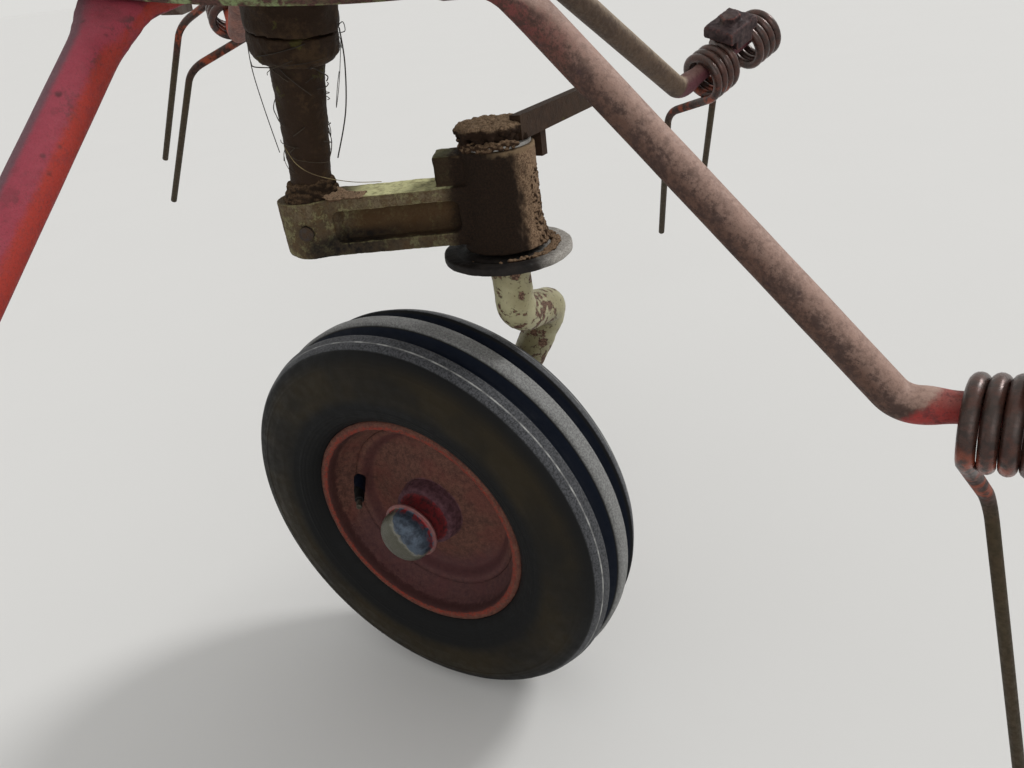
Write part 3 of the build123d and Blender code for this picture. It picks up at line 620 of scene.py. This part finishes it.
def piece(name, place, verts, faces, material, body, slot=None):
    """Smooth mesh from vertices in a frame, which rides on a body."""
    mesh = bpy.data.meshes.new(name)
    mesh.from_pydata([place @ v for v in verts], [], faces)
    mesh.validate()
    smooth(mesh)
    mesh.materials.append(material)
    obj = linked(name, mesh)
    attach(obj, body)
    return obj


def skin(rings, closed=False):
    """Vertices and faces of a surface through rings with equal counts, its open ends capped."""
    count, verts, faces = len(rings[0]), [v for ring in rings for v in ring], []
    spans = len(rings) if closed else len(rings) - 1
    for i in range(spans):
        a, b = i * count, (i + 1) % len(rings) * count
        for j in range(count):
            k = (j + 1) % count
            faces.append((a + j, a + k, b + k, b + j))
    if not closed:
        for ring, flip in ((0, False), (len(rings) - 1, True)):
            centre = sum(rings[ring], Vector()) / count
            verts.append(centre)
            hub = len(verts) - 1
            for j in range(count):
                a, b = ring * count + j, ring * count + (j + 1) % count
                faces.append((b, hub, a) if flip else (a, hub, b))
    return verts, faces


AXIS_GAP = 0.5      # points nearer to the axis aren't pushed


def turned(name, profile, place, material, segments, rough=0.0, grain=60.0, closed=False, slot=None):
    """Turned piece from radius and height pairs in a frame.

    Rough is how far noise of the given grain pushes its skin. A closed profile is a ring of points.
    """
    rings = []
    for s in range(segments):
        c, n = cos(TURN * s / segments), sin(TURN * s / segments)
        rings.append([Vector((r * c, r * n, z)) for r, z in profile])
    verts, faces = skin(rings, closed=True)
    if not closed:
        count = len(profile)
        faces = [f for f in faces if not (f[0] % count == count - 1 and f[1] % count == 0)]
    if rough:
        for v in verts:
            radius = hypot(v.x, v.y)
            if radius > AXIS_GAP:
                push = rough * noise.fractal(v / grain, 0.7, 2.0, 5)
                v.x += push * v.x / radius
                v.y += push * v.y / radius
    return piece(name, place, verts, faces, material, "wheel", slot)


def rounded_profile(points, radius):
    """Outline with each corner between its ends replaced by a short curve."""
    steps, result = 4, [points[0]]
    for before, corner, after in zip(points, points[1:], points[2:]):
        a, b, c = Vector(before), Vector(corner), Vector(after)
        reach = min(radius, (a - b).length / 2.2, (c - b).length / 2.2)
        p, q = b + (a - b).normalized() * reach, b + (c - b).normalized() * reach
        for i in range(steps + 1):
            t = i / steps
            point = p * (1 - t) ** 2 + b * 2 * t * (1 - t) + q * t * t
            result.append((point.x, point.y))
    return result + [points[-1]]


def densified(points, step):
    """The same outline with points no further apart than step."""
    result = []
    for a, b in zip(points, points[1:]):
        va, vb = Vector(a), Vector(b)
        count = max(1, round((vb - va).length / step))
        result += [tuple(va.lerp(vb, i / count)) for i in range(count)]
    return result + [tuple(points[-1])]


def rounded_path(points, radii, steps):
    """Straight runs with a true arc at each corner between the ends."""
    result = [points[0]]
    for before, corner, after, radius in zip(points, points[1:], points[2:], radii):
        u, w = (before - corner).normalized(), (after - corner).normalized()
        half = u.angle(w) / 2
        centre = corner + (u + w).normalized() * radius / sin(half)
        tangent = radius / tan(half)
        a, b = corner + u * tangent - centre, corner + w * tangent - centre
        sweep = a.angle(b)
        for i in range(steps + 1):
            t = i / steps
            arc = (a * sin((1 - t) * sweep) + b * sin(t * sweep)) / sin(sweep)
            result.append(centre + arc)
    return result + [points[-1]]


def tube_rings(path, radius, sides):
    """Rings of a round bar along a path. Radius is a number, or a list with one for each point."""
    rings, side = [], None
    for i, point in enumerate(path):
        tangent = (path[min(i + 1, len(path) - 1)] - path[max(i - 1, 0)]).normalized()
        if side is None:
            side = tangent.orthogonal().normalized()
        side = (side - tangent * side.dot(tangent)).normalized()
        up = tangent.cross(side)
        r = radius[i] if isinstance(radius, list) else radius
        rings.append([point + side * r * cos(TURN * k / sides) + up * r * sin(TURN * k / sides)
                      for k in range(sides)])
    return rings


def roughened(mesh, height, grain):
    """Pushes every vertex along its normal by uneven noise, both sizes in millimetres."""
    normals = [v.normal.copy() for v in mesh.vertices]
    places = []
    for v, normal in zip(mesh.vertices, normals):
        places.extend(v.co + normal * height * MM * noise.fractal(v.co / (grain * MM), 0.8, 2.1, 5))
    mesh.vertices.foreach_set("co", places)
    mesh.update()


def evened(obj, voxel, passes=0):
    """Gives an object a mesh of even faces, smoothed a number of times."""
    even = obj.modifiers.new("even", "REMESH")
    even.mode, even.voxel_size = "VOXEL", voxel * MM
    if passes:
        soft = obj.modifiers.new("soft", "SMOOTH")
        soft.factor, soft.iterations = 0.5, passes
    graph = bpy.context.evaluated_depsgraph_get()
    mesh = bpy.data.meshes.new_from_object(obj.evaluated_get(graph))
    obj.modifiers.clear()
    obj.data = mesh
    smooth(mesh)
    return mesh


EDGE_PASSES = 5


def remeshed(node, voxel, material, bump, grain):
    """Copy of a CAD node with softened edges and an uneven skin, which stands for the node."""
    source = NODES[node]
    obj = linked(node + "_skin", source.data.copy())
    mesh = evened(obj, voxel, EDGE_PASSES)
    roughened(mesh, bump, grain)
    mesh.materials.clear()
    mesh.materials.append(material)
    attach(obj, source["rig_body"])
    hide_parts(node)


# Wheel: outlines are of radius and distance from its middle plane
TYRE_SIDE = [
    (108, 30), (112, 32.2), (114.4, 34), (115.6, 37), (118.5, 40.6), (123, 44), (130, 46.8), (140, 49.1),
    (152, 50.4), (165, 49.8), (177, 47.4), (184, 45), (187.5, 43.2), (190.2, 40.6), (192.2, 37.8)]
TYRE_TREAD = [
    (193.4, 35), (195, 30.6), (195.9, 28.2), (196.1, 27.2), (195.8, 26.3), (195, 25.6), (192, 24.4),
    (189, 22.9), (187.6, 21.2), (187, 18.5), (187, 16), (187.5, 13.8), (189, 12.2), (193, 10.4),
    (196.6, 9), (198.2, 8.2), (199, 7), (199.4, 5.4), (199.5, 3), (199.5, 0)]
TYRE_RIDGES = ((121.5, 0.5), (125, 0.7), (128.5, 0.7), (132, 0.6), (176, 0.5), (180, 0.4))
RIDGE_HALF_W = 1.1


def tyre():
    """Ribbed implement tyre with fine rings moulded on its side walls."""
    side = []
    for r, z in densified(TYRE_SIDE, 1.2):
        lift = sum(height * max(0.0, 1 - abs(r - at) / RIDGE_HALF_W) for at, height in TYRE_RIDGES)
        side.append((r, z + lift))
    half = side + TYRE_TREAD
    whole = half + [(r, -z) for r, z in reversed(half[:-1])]
    obj = turned("tyre_rubber", whole, WHEEL, RUBBER, 192, slot="tyre")
    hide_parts("tyre")


RIM_FACE = [
    (115, 35), (114.8, 36.6), (112.6, 37.8), (108.6, 38), (106.4, 37.2), (105, 34.6), (103.6, 28.5),
    (100.8, 21), (97, 15), (92.3, 9)]
RIM_SEAT = [(96.3, 9), (105, 21), (108, 30), (110.5, 33), (114, 32.8), (115, 35)]
DISC_FACE = [
    (25.5, 8.6), (34, 8.2), (40, 6.3), (60, 1.4), (76, -0.6), (80, 1.4), (84, 6.6), (87.3, 9), (92.3, 9.8)]
DISC_T = 4
HUB = [
    (13, -50), (24, -50), (25, -49), (25, 4.4), (33.4, 4.6), (34, 7), (33.4, 14), (32.2, 21), (31, 22.7),
    (27, 23.2), (25.4, 24.6), (25, 28), (25, 41.2), (24.4, 42.3), (13, 42.4)]
CAP = [
    (20, 42.5), (29, 42.5), (29.5, 43.2), (29.4, 44.6), (28.4, 45.3), (26.8, 45.7), (26.1, 46.8), (26, 53),
    (25.3, 56.8), (23.4, 60.5), (20.2, 63.3), (13, 65.7), (6, 66.3), (0, 66.5)]


def rim_and_disc():
    """Rolled rim, the same on both sides, and the dished disc in it."""
    front = RIM_FACE + [(r, -z) for r, z in reversed(RIM_FACE)]
    outline = densified(front + [(r, -z) for r, z in reversed(RIM_SEAT[:-1])] + RIM_SEAT[:-1], 1.6)
    rim = turned("rim_rolled", outline, WHEEL, RIM_RUST, 200, 0.35, 9, closed=True, slot="red_rim")
    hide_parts("wheel_rim")
    back = [(r, z - DISC_T) for r, z in reversed(DISC_FACE)]
    outline = rounded_profile(DISC_FACE, 3) + rounded_profile(back, 3)
    disc = turned("disc_face", outline, WHEEL, RIM_RUST, 160, 0.3, 12, closed=True, slot="red_rim")
    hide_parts("wheel_disc")


def hub_and_cap():
    obj = turned("hub_casting", rounded_profile(HUB, 2), WHEEL, RIM_RUST, 96, 0.5, 10, slot="red_rim")
    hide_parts("wheel_hub")
    obj = turned("cap_dome", rounded_profile(CAP, 1.2), WHEEL, CAP_STEEL, 96, 0.35, 12, slot="cap_steel")
    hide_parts("hub_cap")


VALVE_ANGLE = 171.0
VALVE_FOOT, VALVE_TIP = Vector((89.3, 0, 8.5)), Vector((61.5, 0, 44.3))
STEM = [(0, 0), (6, 0), (6, 9), (5.6, 12), (5.8, 21), (5, 24), (4.8, 34.2), (4, 35), (0, 35)]
STEM_TIP = [(2.2, 34.6), (2.2, 36.4), (2.9, 36.8), (2.9, 44.4), (2.3, 45.2), (0, 45.2)]


def valve_stem():
    """Rubber stem that leans from the rim towards the hub, and its bare end."""
    lean = (VALVE_TIP - VALVE_FOOT).normalized()
    side = Vector((0, 1, 0))
    axes = turned_to(side, lean.cross(side), lean)
    place = WHEEL @ spun(VALVE_ANGLE) @ Matrix.Translation(VALVE_FOOT) @ axes
    obj = turned("valve_rubber", rounded_profile(STEM, 0.6), place, RUBBER, 24, slot="valve_rubber")
    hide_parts("valve")
    turned("valve_tip", rounded_profile(STEM_TIP, 0.3), place, DULL_METAL, 24)


# Rotor arms and tines
Arm = namedtuple("Arm", "name azimuth tine_turn")
FIRST_ARM, ARM_STEP = 16.0, 72.0
TINE_TURNS = (-17.0, 0.0, 0.0, 0.0, 0.0)
ARMS = [Arm(str(i + 1), FIRST_ARM + ARM_STEP * i, turn) for i, turn in enumerate(TINE_TURNS)]
DROOP, APEX, BEND_R = radians(32.8), 10.0, 434.6
PADDLE_START, PADDLE_MID = 78.0, -98.5
BEND = Vector((BEND_R, 0, APEX - BEND_R * tan(DROOP)))
RISE = radians(21.1)
ACROSS = Vector((0, 1, 0))
STUB_X, STUB_Z = Vector((cos(RISE), 0, sin(RISE))), Vector((-sin(RISE), 0, cos(RISE)))
STUB = Matrix.Translation(BEND) @ turned_to(STUB_X, ACROSS, STUB_Z)
ROOT_R = (APEX - PADDLE_MID) / tan(DROOP)
ROOT_FILLET, BEND_FILLET = 25, 19
STUB_LENGTH, STUB_R = 139.0, 9.0
NECK_START, NECK_RUN = 12.0, 17.0
DENT = 0.012                # share of the thickness
ARM_SIDES = 40
# Distance along the arm, half width, half thickness, squareness
ARM_SECTIONS = [
    (0, 19.0, 5.0, 5.0), (83, 19.0, 5.0, 5.0), (92, 17.4, 6.2, 3.6), (99, 16.0, 7.0, 3.0),
    (108, 13.2, 9.2, 2.4), (115, 11.3, 10.6, 2.06), (120, 10.9, 10.9, 2.0)]


def eased(share):
    """Share from 0 to 1 with a soft start and end."""
    share = min(1.0, max(0.0, share))
    return share * share * (3 - 2 * share)


def arm_section(distance):
    """Half width, half thickness and squareness of an arm at a distance from its inner end."""
    for a, b in zip(ARM_SECTIONS, ARM_SECTIONS[1:]):
        if distance <= b[0]:
            t = eased((distance - a[0]) / (b[0] - a[0]))
            return tuple(x + (y - x) * t for x, y in zip(a[1:], b[1:]))
    return ARM_SECTIONS[-1][1:]


def spaced(path, step):
    """Points along a path at equal steps, with the distance of each from its start."""
    result, travelled = [(path[0], 0.0)], 0.0
    for a, b in zip(path, path[1:]):
        count = max(1, ceil((b - a).length / step))
        for i in range(1, count + 1):
            result.append((a.lerp(b, i / count), travelled + (b - a).length * i / count))
        travelled += (b - a).length
    return result


def on_arm(row):
    """Frame of one arm, with x outwards along it and z along the rotor's axis."""
    return ROTOR @ spun(row.azimuth)


def tine_arm(row):
    """Arm tube: flattened at its root, round along its droop, with a thinner upturned stub."""
    start, root = Vector((PADDLE_START, 0, PADDLE_MID)), Vector((ROOT_R, 0, PADDLE_MID))
    path = rounded_path([start, root, BEND, BEND + STUB_X * STUB_LENGTH], [ROOT_FILLET, BEND_FILLET], 12)
    points = spaced(path, 3)
    neck_start = points[-1][1] - STUB_LENGTH + NECK_START
    rings = []
    for i, (point, gone) in enumerate(points):
        tangent = (points[min(i + 1, len(points) - 1)][0] - points[max(i - 1, 0)][0]).normalized()
        normal = tangent.cross(ACROSS)
        w, t, p = arm_section(gone)
        neck = eased((gone - neck_start) / NECK_RUN)
        dent = 1 + DENT * noise.noise(point / 30 + Vector((0, 0, row.azimuth)))
        w, t = (w + (STUB_R - w) * neck) * dent, (t + (STUB_R - t) * neck) * dent
        ring = []
        for k in range(ARM_SIDES):
            c, s = cos(TURN * k / ARM_SIDES), sin(TURN * k / ARM_SIDES)
            ring.append(point + ACROSS * w * copysign(abs(c) ** (2 / p), c)
                        + normal * t * copysign(abs(s) ** (2 / p), s))
        rings.append(ring)
    obj = piece("arm_tube_" + row.name, on_arm(row), *skin(rings), ARM_PAINTS[row.name], "rotor", "red_arm")
    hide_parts("tine_arm_" + row.name)


WIRE_R, LEG_R, COIL_R, COIL_DROP = 4.75, 4.2, 22.75, 8.9
WIRE_SIDES = 16
TAPER_POINTS = 13           # points of a leg over which it grows to the full wire
COIL_1, COIL_2 = 49.9, 117.4
COIL_GAP = COIL_2 - COIL_1
COIL_HALF, COIL_TURNS = 16.7, 4
LEG_START = radians(213.7)
BRIDGE_SIDE, BRIDGE_MARGIN = 13.0, 4
BRIDGE_TRIM = 3             # last points of a coil, which the bridge takes the place of
KINK_ANGLE, KINK_RUN, KINK_IN, KINK_FILLET = radians(33.7), 85, 7.0, 50
LEG_LOWER = Vector((23.4, 58.2, -242.2))


def wire_leg(along, lean, turn):
    """From the tip of a leg up to its coil, in the coil's frame."""
    foot = Vector((along, -COIL_R * sin(KINK_ANGLE), -COIL_R * cos(KINK_ANGLE)))
    kink = foot + Vector((lean, cos(KINK_ANGLE) * KINK_RUN, -sin(KINK_ANGLE) * KINK_RUN))
    path = rounded_path([kink + LEG_LOWER, kink, foot], [KINK_FILLET], 14)
    return [Matrix.Rotation(turn, 3, "X") @ p for p in path]


def wire_radii(legs, turns):
    """Thickness along a tine: worn legs at both ends, full wire in the coils."""
    thin = [LEG_R] * (legs - TAPER_POINTS)
    grow = [LEG_R + (WIRE_R - LEG_R) * i / (TAPER_POINTS - 1) for i in range(TAPER_POINTS)]
    return thin + grow + [WIRE_R] * turns + grow[::-1] + thin


def wire_coil(first, last, start, end):
    """Turns between two angles about the coil axis, with y as sine and z as cosine."""
    count = 120
    result = []
    for i in range(1, count):
        t = i / count
        a = start + (end - start) * t
        result.append(Vector((first + (last - first) * t, COIL_R * sin(a), COIL_R * cos(a))))
    return result


def tine(row):
    """Two legs, each with its coil, in one wire that passes from coil to coil beside the clamp bolt."""
    turn = radians(row.tine_turn)
    start = LEG_START - turn
    end = asin(BRIDGE_SIDE / COIL_R) + COIL_TURNS * TURN
    inner, outer = wire_leg(-COIL_HALF, KINK_IN, turn), wire_leg(COIL_GAP + COIL_HALF, -KINK_IN, turn)
    first = inner + wire_coil(-COIL_HALF, COIL_HALF, start, end)
    second = outer + wire_coil(COIL_GAP + COIL_HALF, COIL_GAP - COIL_HALF, start, end)
    bridge_z = sqrt(COIL_R**2 - BRIDGE_SIDE**2)
    reach = COIL_HALF + BRIDGE_MARGIN
    bridge = [Vector((x, BRIDGE_SIDE, bridge_z)) for x in (reach, COIL_GAP - reach)]
    path = first[:-BRIDGE_TRIM] + bridge + list(reversed(second[:-BRIDGE_TRIM]))
    place = on_arm(row) @ STUB @ Matrix.Translation((COIL_1, 0, -COIL_DROP))
    radii = wire_radii(len(inner), len(path) - 2 * len(inner))
    wire = skin(tube_rings(path, radii, WIRE_SIDES))
    obj = piece("spring_wire_" + row.name, place, *wire, WIRE, "rotor", "tine_steel")
    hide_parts("tine_" + row.name)


# Dirt and straw
BLOB_FLATNESS, EARTH_GRAIN = 0.75, 7


def clump(name, blobs, place, body, voxel, rough, material=EARTH):
    """Lumpy earth from overlapping balls, given as centre and radius in a frame."""
    rows, cols = 7, 10
    verts, faces = [], []
    for centre, radius in blobs:
        base = len(verts)
        for i in range(rows + 1):
            polar = pi * i / rows
            level, out = cos(polar) * BLOB_FLATNESS, sin(polar)
            for j in range(cols):
                a = TURN * j / cols
                offset = Vector((out * cos(a), out * sin(a), level))
                verts.append(place @ (centre + offset * radius))
        for i in range(rows):
            for j in range(cols):
                a, b = base + i * cols, base + (i + 1) * cols
                k = (j + 1) % cols
                faces.append((a + j, b + j, b + k, a + k))
    mesh = bpy.data.meshes.new(name)
    mesh.from_pydata(verts, [], faces)
    obj = linked(name, mesh)
    mesh = evened(obj, voxel)
    roughened(mesh, rough, EARTH_GRAIN)
    mesh.materials.append(material)
    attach(obj, body)


def round_axis(reach, angle, height):
    """Point at a reach from the axis of its frame."""
    return Vector((reach * cos(angle), reach * sin(angle), height))


CLOD_MIDDLE, CLOD_R = Vector((-2.6, -1.5, 0)), 27.5
GRAVEL_LOW, GRAVEL_SPAN = 4, 58      # levels that it sticks to
FOOT_SPREAD, FOOT_RISE = 4.2, 20     # it's heaped round the foot of the housing
SUN_ANGLE = radians(48 - STEER)


def earth_on_housing():
    """Broad clod over the end of the swivel, and gravel that sticks to the sunny side of the housing."""
    pick = random.Random(11)
    blobs = []
    for _ in range(210):
        a, size = pick.uniform(0, TURN), pick.uniform(3.6, 6.4)
        reach = (CLOD_R - size) * sqrt(pick.random())
        dome = 2.0 * (1 - (reach / 27) ** 2)
        height = CLOD_TOP + 0.6 + dome - 0.75 * size + pick.uniform(-0.9, 0.2)
        blobs.append((CLOD_MIDDLE + round_axis(reach, a, height), size))
    for _ in range(230):
        a, height = pick.uniform(0, TURN), pick.uniform(80.5, 91)
        reach = pick.uniform(18, 25) + 1.5 * sin(3 * a)
        blobs.append((CLOD_MIDDLE + round_axis(reach, a, height), pick.uniform(1.4, 3.4)))
    clump("earth_on_lever", blobs, SWIVEL, "swivel", 0.8, 1.3, CLOD)
    gravel = []
    for _ in range(420):
        a = SUN_ANGLE + radians(max(-34.0, min(40.0, pick.gauss(0, 22))))
        share = pick.random() ** 1.5
        height = GRAVEL_LOW + GRAVEL_SPAN * share
        reach = HOUSING_R - 0.2 + FOOT_SPREAD * max(0.0, 1 - (height - 3) / FOOT_RISE)
        gravel.append((round_axis(reach, a, height), pick.uniform(0.7, 2.2 - 1.2 * share)))
    for _ in range(130):
        a, height = radians(pick.uniform(-130, -5) - STEER), pick.uniform(HOUSING_TOP + 0.2, 84)
        gravel.append((round_axis(pick.uniform(23, 27.6), a, height), pick.uniform(1.2, 2.4)))
    clump("gravel_on_housing", gravel, SWIVEL, "frame", 0.7, 0.5)


def earth_on_flange():
    pick = random.Random(5)
    blobs = []
    for _ in range(190):
        a, reach = SUN_ANGLE + radians(pick.gauss(0, 38) - 15), pick.uniform(35, 41)
        blobs.append((round_axis(reach, a, pick.uniform(-2, 1)), pick.uniform(1.0, 2.4)))
    clump("earth_on_flange", blobs, SWIVEL, "swivel", 0.8, 0.8)


SKIRT_RISE, SKIRT_START = 13, 14.5
HEAP_MIDDLE, HEAP_R, HEAP_EDGE, HEAP_HEIGHT = 5, 25, 9, 6


def earth_on_boss():
    """Skirt of dark earth round the foot of the post, and sand on the arm beside it."""
    pick = random.Random(3)
    lean = ROTOR_AXIS.x / ROTOR_AXIS.z
    leaning = round_axis(lean, radians(-CAST_HEADING), 0)
    skirt, sand = [], []
    for _ in range(240):
        a, rise = pick.uniform(0, TURN), SKIRT_RISE * pick.random() ** 1.5
        sandy = max(0.0, -sin(a)) * max(0.0, 0.5 + cos(a))
        spread = (5.5 - 5 * min(1.0, sandy)) * (1 - rise / SKIRT_RISE)
        reach = SKIRT_START + spread * pick.uniform(0.6, 1.0)
        height = CAST_TOP + rise
        skirt.append((round_axis(reach, a, height) + leaning * height, pick.uniform(2.4, 4.2)))
    clump("earth_on_boss", skirt, CAST, "frame", 0.9, 0.7, DARK_EARTH)
    for _ in range(1100):
        x = -5 + 51 * pick.random() ** 1.15
        y = pick.uniform(-19.5, 8 - x * 0.3)
        heap = HEAP_HEIGHT * min(1.0, max(0.0, (HEAP_R - hypot(x - HEAP_MIDDLE, y)) / HEAP_EDGE))
        height = CAST_TOP + heap + pick.uniform(-0.5, 0.3)
        sand.append((Vector((x, y, height)), pick.uniform(0.9, 1.7)))
    clump("sand_on_arm", sand, CAST, "frame", 0.8, 0.9, SAND)


STEM_POINTS, STEM_SIDES = 6, 6       # points from one bend to the next, and sides of a stem


def wisps(name, lines, place, body, material):
    """Thin stems, each a smooth line through a few points with its own thickness."""
    verts, faces = [], []
    for points, radius in lines:
        path, count = [], len(points)
        for i in range(count - 1):
            p0, p1 = points[max(i - 1, 0)], points[i]
            p2, p3 = points[i + 1], points[min(i + 2, count - 1)]
            for k in range(STEM_POINTS):
                t = k / STEM_POINTS
                path.append(0.5 * (2 * p1 + (p2 - p0) * t + (2 * p0 - 5 * p1 + 4 * p2 - p3) * t * t
                                   + (3 * p1 - p0 - 3 * p2 + p3) * t**3))
        path.append(points[-1])
        stem_verts, stem_faces = skin(tube_rings(path, radius, STEM_SIDES))
        base = len(verts)
        verts += stem_verts
        faces += [tuple(i + base for i in face) for face in stem_faces]
    return piece(name, place, verts, faces, material, body)


# Angle about the post, then distance from its axis, further turn and height of each point, then thickness
STRANDS = [
    (-132.0, [(31.5, 0.0, -150.0), (31.0, 0.05, -176.0), (26.5, 0.1, -204.0), (20.0, 0.2, -236.0)], 0.35),
    (48.0, [(31.5, 0.0, -148.0), (33.0, 0.05, -172.0), (30.5, 0.05, -206.0), (22.0, 0.0, -240.0)], 0.5),
    (48.0, [(31.6, 0.1, -156.0), (28.0, 0.3, -186.0), (24.0, 0.2, -204.0), (26.5, 0.0, -188.0),
        (29.5, -0.1, -176.0)], 0.25),
    (40.0, [(31.6, 0.0, -146.0), (35.5, 0.0, -143.0), (36.0, 0.05, -149.0), (31.5, 0.1, -151.0)], 0.3),
]
STRAW_LINE = [(3.5, -19.9, -226), (15, -18, -236), (24, -8, -244), (31, 16, -253), (35, 40, -258)]
CUP_BOTTOM, CUP_SKIN_R = -170, 30.9
POST_SKIN_R, POST_TAPER = 20.6, 0.05
SPANS = 6                            # between the bends of a stem in the grease


def straw_round_post():
    """Short stems in the grease of the seal cup and the post, and thin strands that hang beside them."""
    pick = random.Random(21)
    tight = []
    for _ in range(26):
        level, start, length = pick.uniform(-240, -152), pick.uniform(0, TURN), pick.uniform(0.3, 1.6)
        slope = pick.uniform(-20, 20)
        points = []
        for i in range(SPANS + 1):
            a, z = start + length * i / SPANS, level + slope * i / SPANS
            r = CUP_SKIN_R if z > CUP_BOTTOM else POST_SKIN_R + (z - CUP_BOTTOM) * POST_TAPER
            points.append(round_axis(r + pick.uniform(0, 0.8), a, z))
        tight.append((points, pick.uniform(0.2, 0.45)))
    wisps("straw_on_post", tight, ROTOR, "frame", DARK_STRAW)
    hanging = []
    for angle, path, radius in STRANDS:
        a = radians(angle)
        hanging.append(([round_axis(r, a + turn, z) for r, turn, z in path], radius))
    wisps("strands_beside_post", hanging, ROTOR, "frame", BLACK_STRAW)
    fallen = [Vector(p) for p in STRAW_LINE]
    wisps("straw_at_foot", [(fallen, 0.3)], ROTOR, "frame", STRAW)


# Nodes of the CAD
def dress_nodes():
    """Gives castings, forgings and clamps an uneven skin. The other nodes keep their CAD shape."""
    for node, voxel, material, bump, grain in (
        ("gearbox", 2.8, BOX_PAINT, 0.7, 30),
        ("gearbox_cover", 2.0, BOX_PAINT, 0.4, 25),
        ("rotor_hub", 1.9, POST_IRON, 0.9, 14),
        ("seal_cup", 0.9, POST_IRON, 0.9, 10),
        ("post", 1.4, POST_IRON, 0.8, 12),
        ("cast_arm", 1.05, HOUSING_IRON, 0.45, 9),
        ("wheel_flange", 1.05, FLANGE_IRON, 0.3, 10),
        ("wheel_leg", 1.5, LEG_PAINT, 0.8, 16),
        ("wheel_axle", 1.5, DARK_IRON, 0.4, 12),
    ):
        remeshed(node, voxel, material, bump, grain)
    for row in ARMS:
        iron = {"2": FORGING, "3": SUNLIT_FORGING, "4": FORGING}.get(row.name, TAN_FORGING)
        remeshed("tine_clamp_" + row.name, 1.0, iron, 0.6, 8)
    for node, material in (
        ("rotor_plate", PLATE_PAINT), ("lever", LEVER_IRON), ("plate_bolts", BOLT), ("filler_plug", BOLT),
        ("cross_shaft", BRIGHT), ("boss_plug", DARK_IRON), ("swivel_washer", BRIGHT),
        ("swivel_spindle", DARK_IRON),
    ):
        for place in NODES[node].material_slots:
            place.material = material


# Studio
CAMERA_AT = Vector((493.930, -367.138, -116.116))
CAMERA_RIGHT = Vector((0.66516, 0.73794, -0.11403))
CAMERA_DOWN = Vector((0.29497, -0.39998, -0.86776))
CAMERA_AHEAD = Vector((-0.68597, 0.54357, -0.48372))
LENS = 27.457
KEY_FROM = Vector((0.26, 0.81, 0.72))
FILL_FROM = Vector((0.75, -0.62, 0.35))
PALE = (0.721, 0.716, 0.694, 1)     # what the camera sees of the sky, like the floor
SKY_LIGHT = 0.62
FLOOR_HALF, FLOOR_GAP = 400, 0.0002  # metres


def camera():
    data = bpy.data.cameras.new("camera")
    data.lens = LENS
    data.sensor_width = 36
    data.clip_start = 0.02
    cam = linked("camera", data)
    turn = turned_to(CAMERA_RIGHT, -CAMERA_DOWN, -CAMERA_AHEAD)
    cam.matrix_world = Matrix.Translation(CAMERA_AT * MM) @ turn
    bpy.context.scene.camera = cam


def sun(name, direction, strength, angle):
    data = bpy.data.lights.new(name, "SUN")
    data.energy, data.angle = strength, radians(angle)
    lamp = linked(name, data)
    lamp.rotation_mode = "QUATERNION"
    lamp.rotation_quaternion = direction.to_track_quat("Z", "Y")


def sky():
    """White light from all round, seen by the camera and in reflections as the colour of the floor."""
    world = bpy.data.worlds.new("studio")
    bpy.context.scene.world = world
    world.use_nodes = True
    world.node_tree.nodes.clear()
    new, link = world.node_tree.nodes.new, world.node_tree.links.new
    out, mix = new("ShaderNodeOutputWorld"), new("ShaderNodeMixShader")
    light, seen = new("ShaderNodeBackground"), new("ShaderNodeBackground")
    light.inputs[0].default_value = (1, 1, 1, 1)
    light.inputs[1].default_value = SKY_LIGHT
    seen.inputs[0].default_value = PALE
    seen.inputs[1].default_value = 1.0
    path = new("ShaderNodeLightPath")
    share = path.outputs["Is Camera Ray"]
    for key in ("Is Glossy Ray", "Is Transmission Ray"):
        both = new("ShaderNodeMath")
        both.operation = "MAXIMUM"
        link(share, both.inputs[0])
        link(path.outputs[key], both.inputs[1])
        share = both.outputs[0]
    link(share, mix.inputs[0])
    link(light.outputs[0], mix.inputs[1])
    link(seen.outputs[0], mix.inputs[2])
    link(mix.outputs[0], out.inputs[0])


def floor():
    mesh = bpy.data.meshes.new("floor")
    corners = ((-1, -1), (1, -1), (1, 1), (-1, 1))
    level = cad_box[0].z - FLOOR_GAP
    mesh.from_pydata([(x * FLOOR_HALF, y * FLOOR_HALF, level) for x, y in corners], [], [(0, 1, 2, 3)])
    m = Material("pale_floor")
    m.colour = m.mix(m.noise(3, 3), (217, 216, 213), (219, 218, 215))
    mesh.materials.append(m.finish(0.9))
    linked("floor", mesh)


def studio():
    bpy.context.scene.view_settings.view_transform = "Standard"
    camera()
    sky()
    floor()
    sun("key", KEY_FROM, 1.5, 14)
    sun("fill", FILL_FROM, 0.5, 40)


studio()
dress_nodes()
for row in ARMS:
    tine_arm(row)
    tine(row)
tyre()
rim_and_disc()
hub_and_cap()
valve_stem()
earth_on_housing()
earth_on_flange()
earth_on_boss()
straw_round_post()
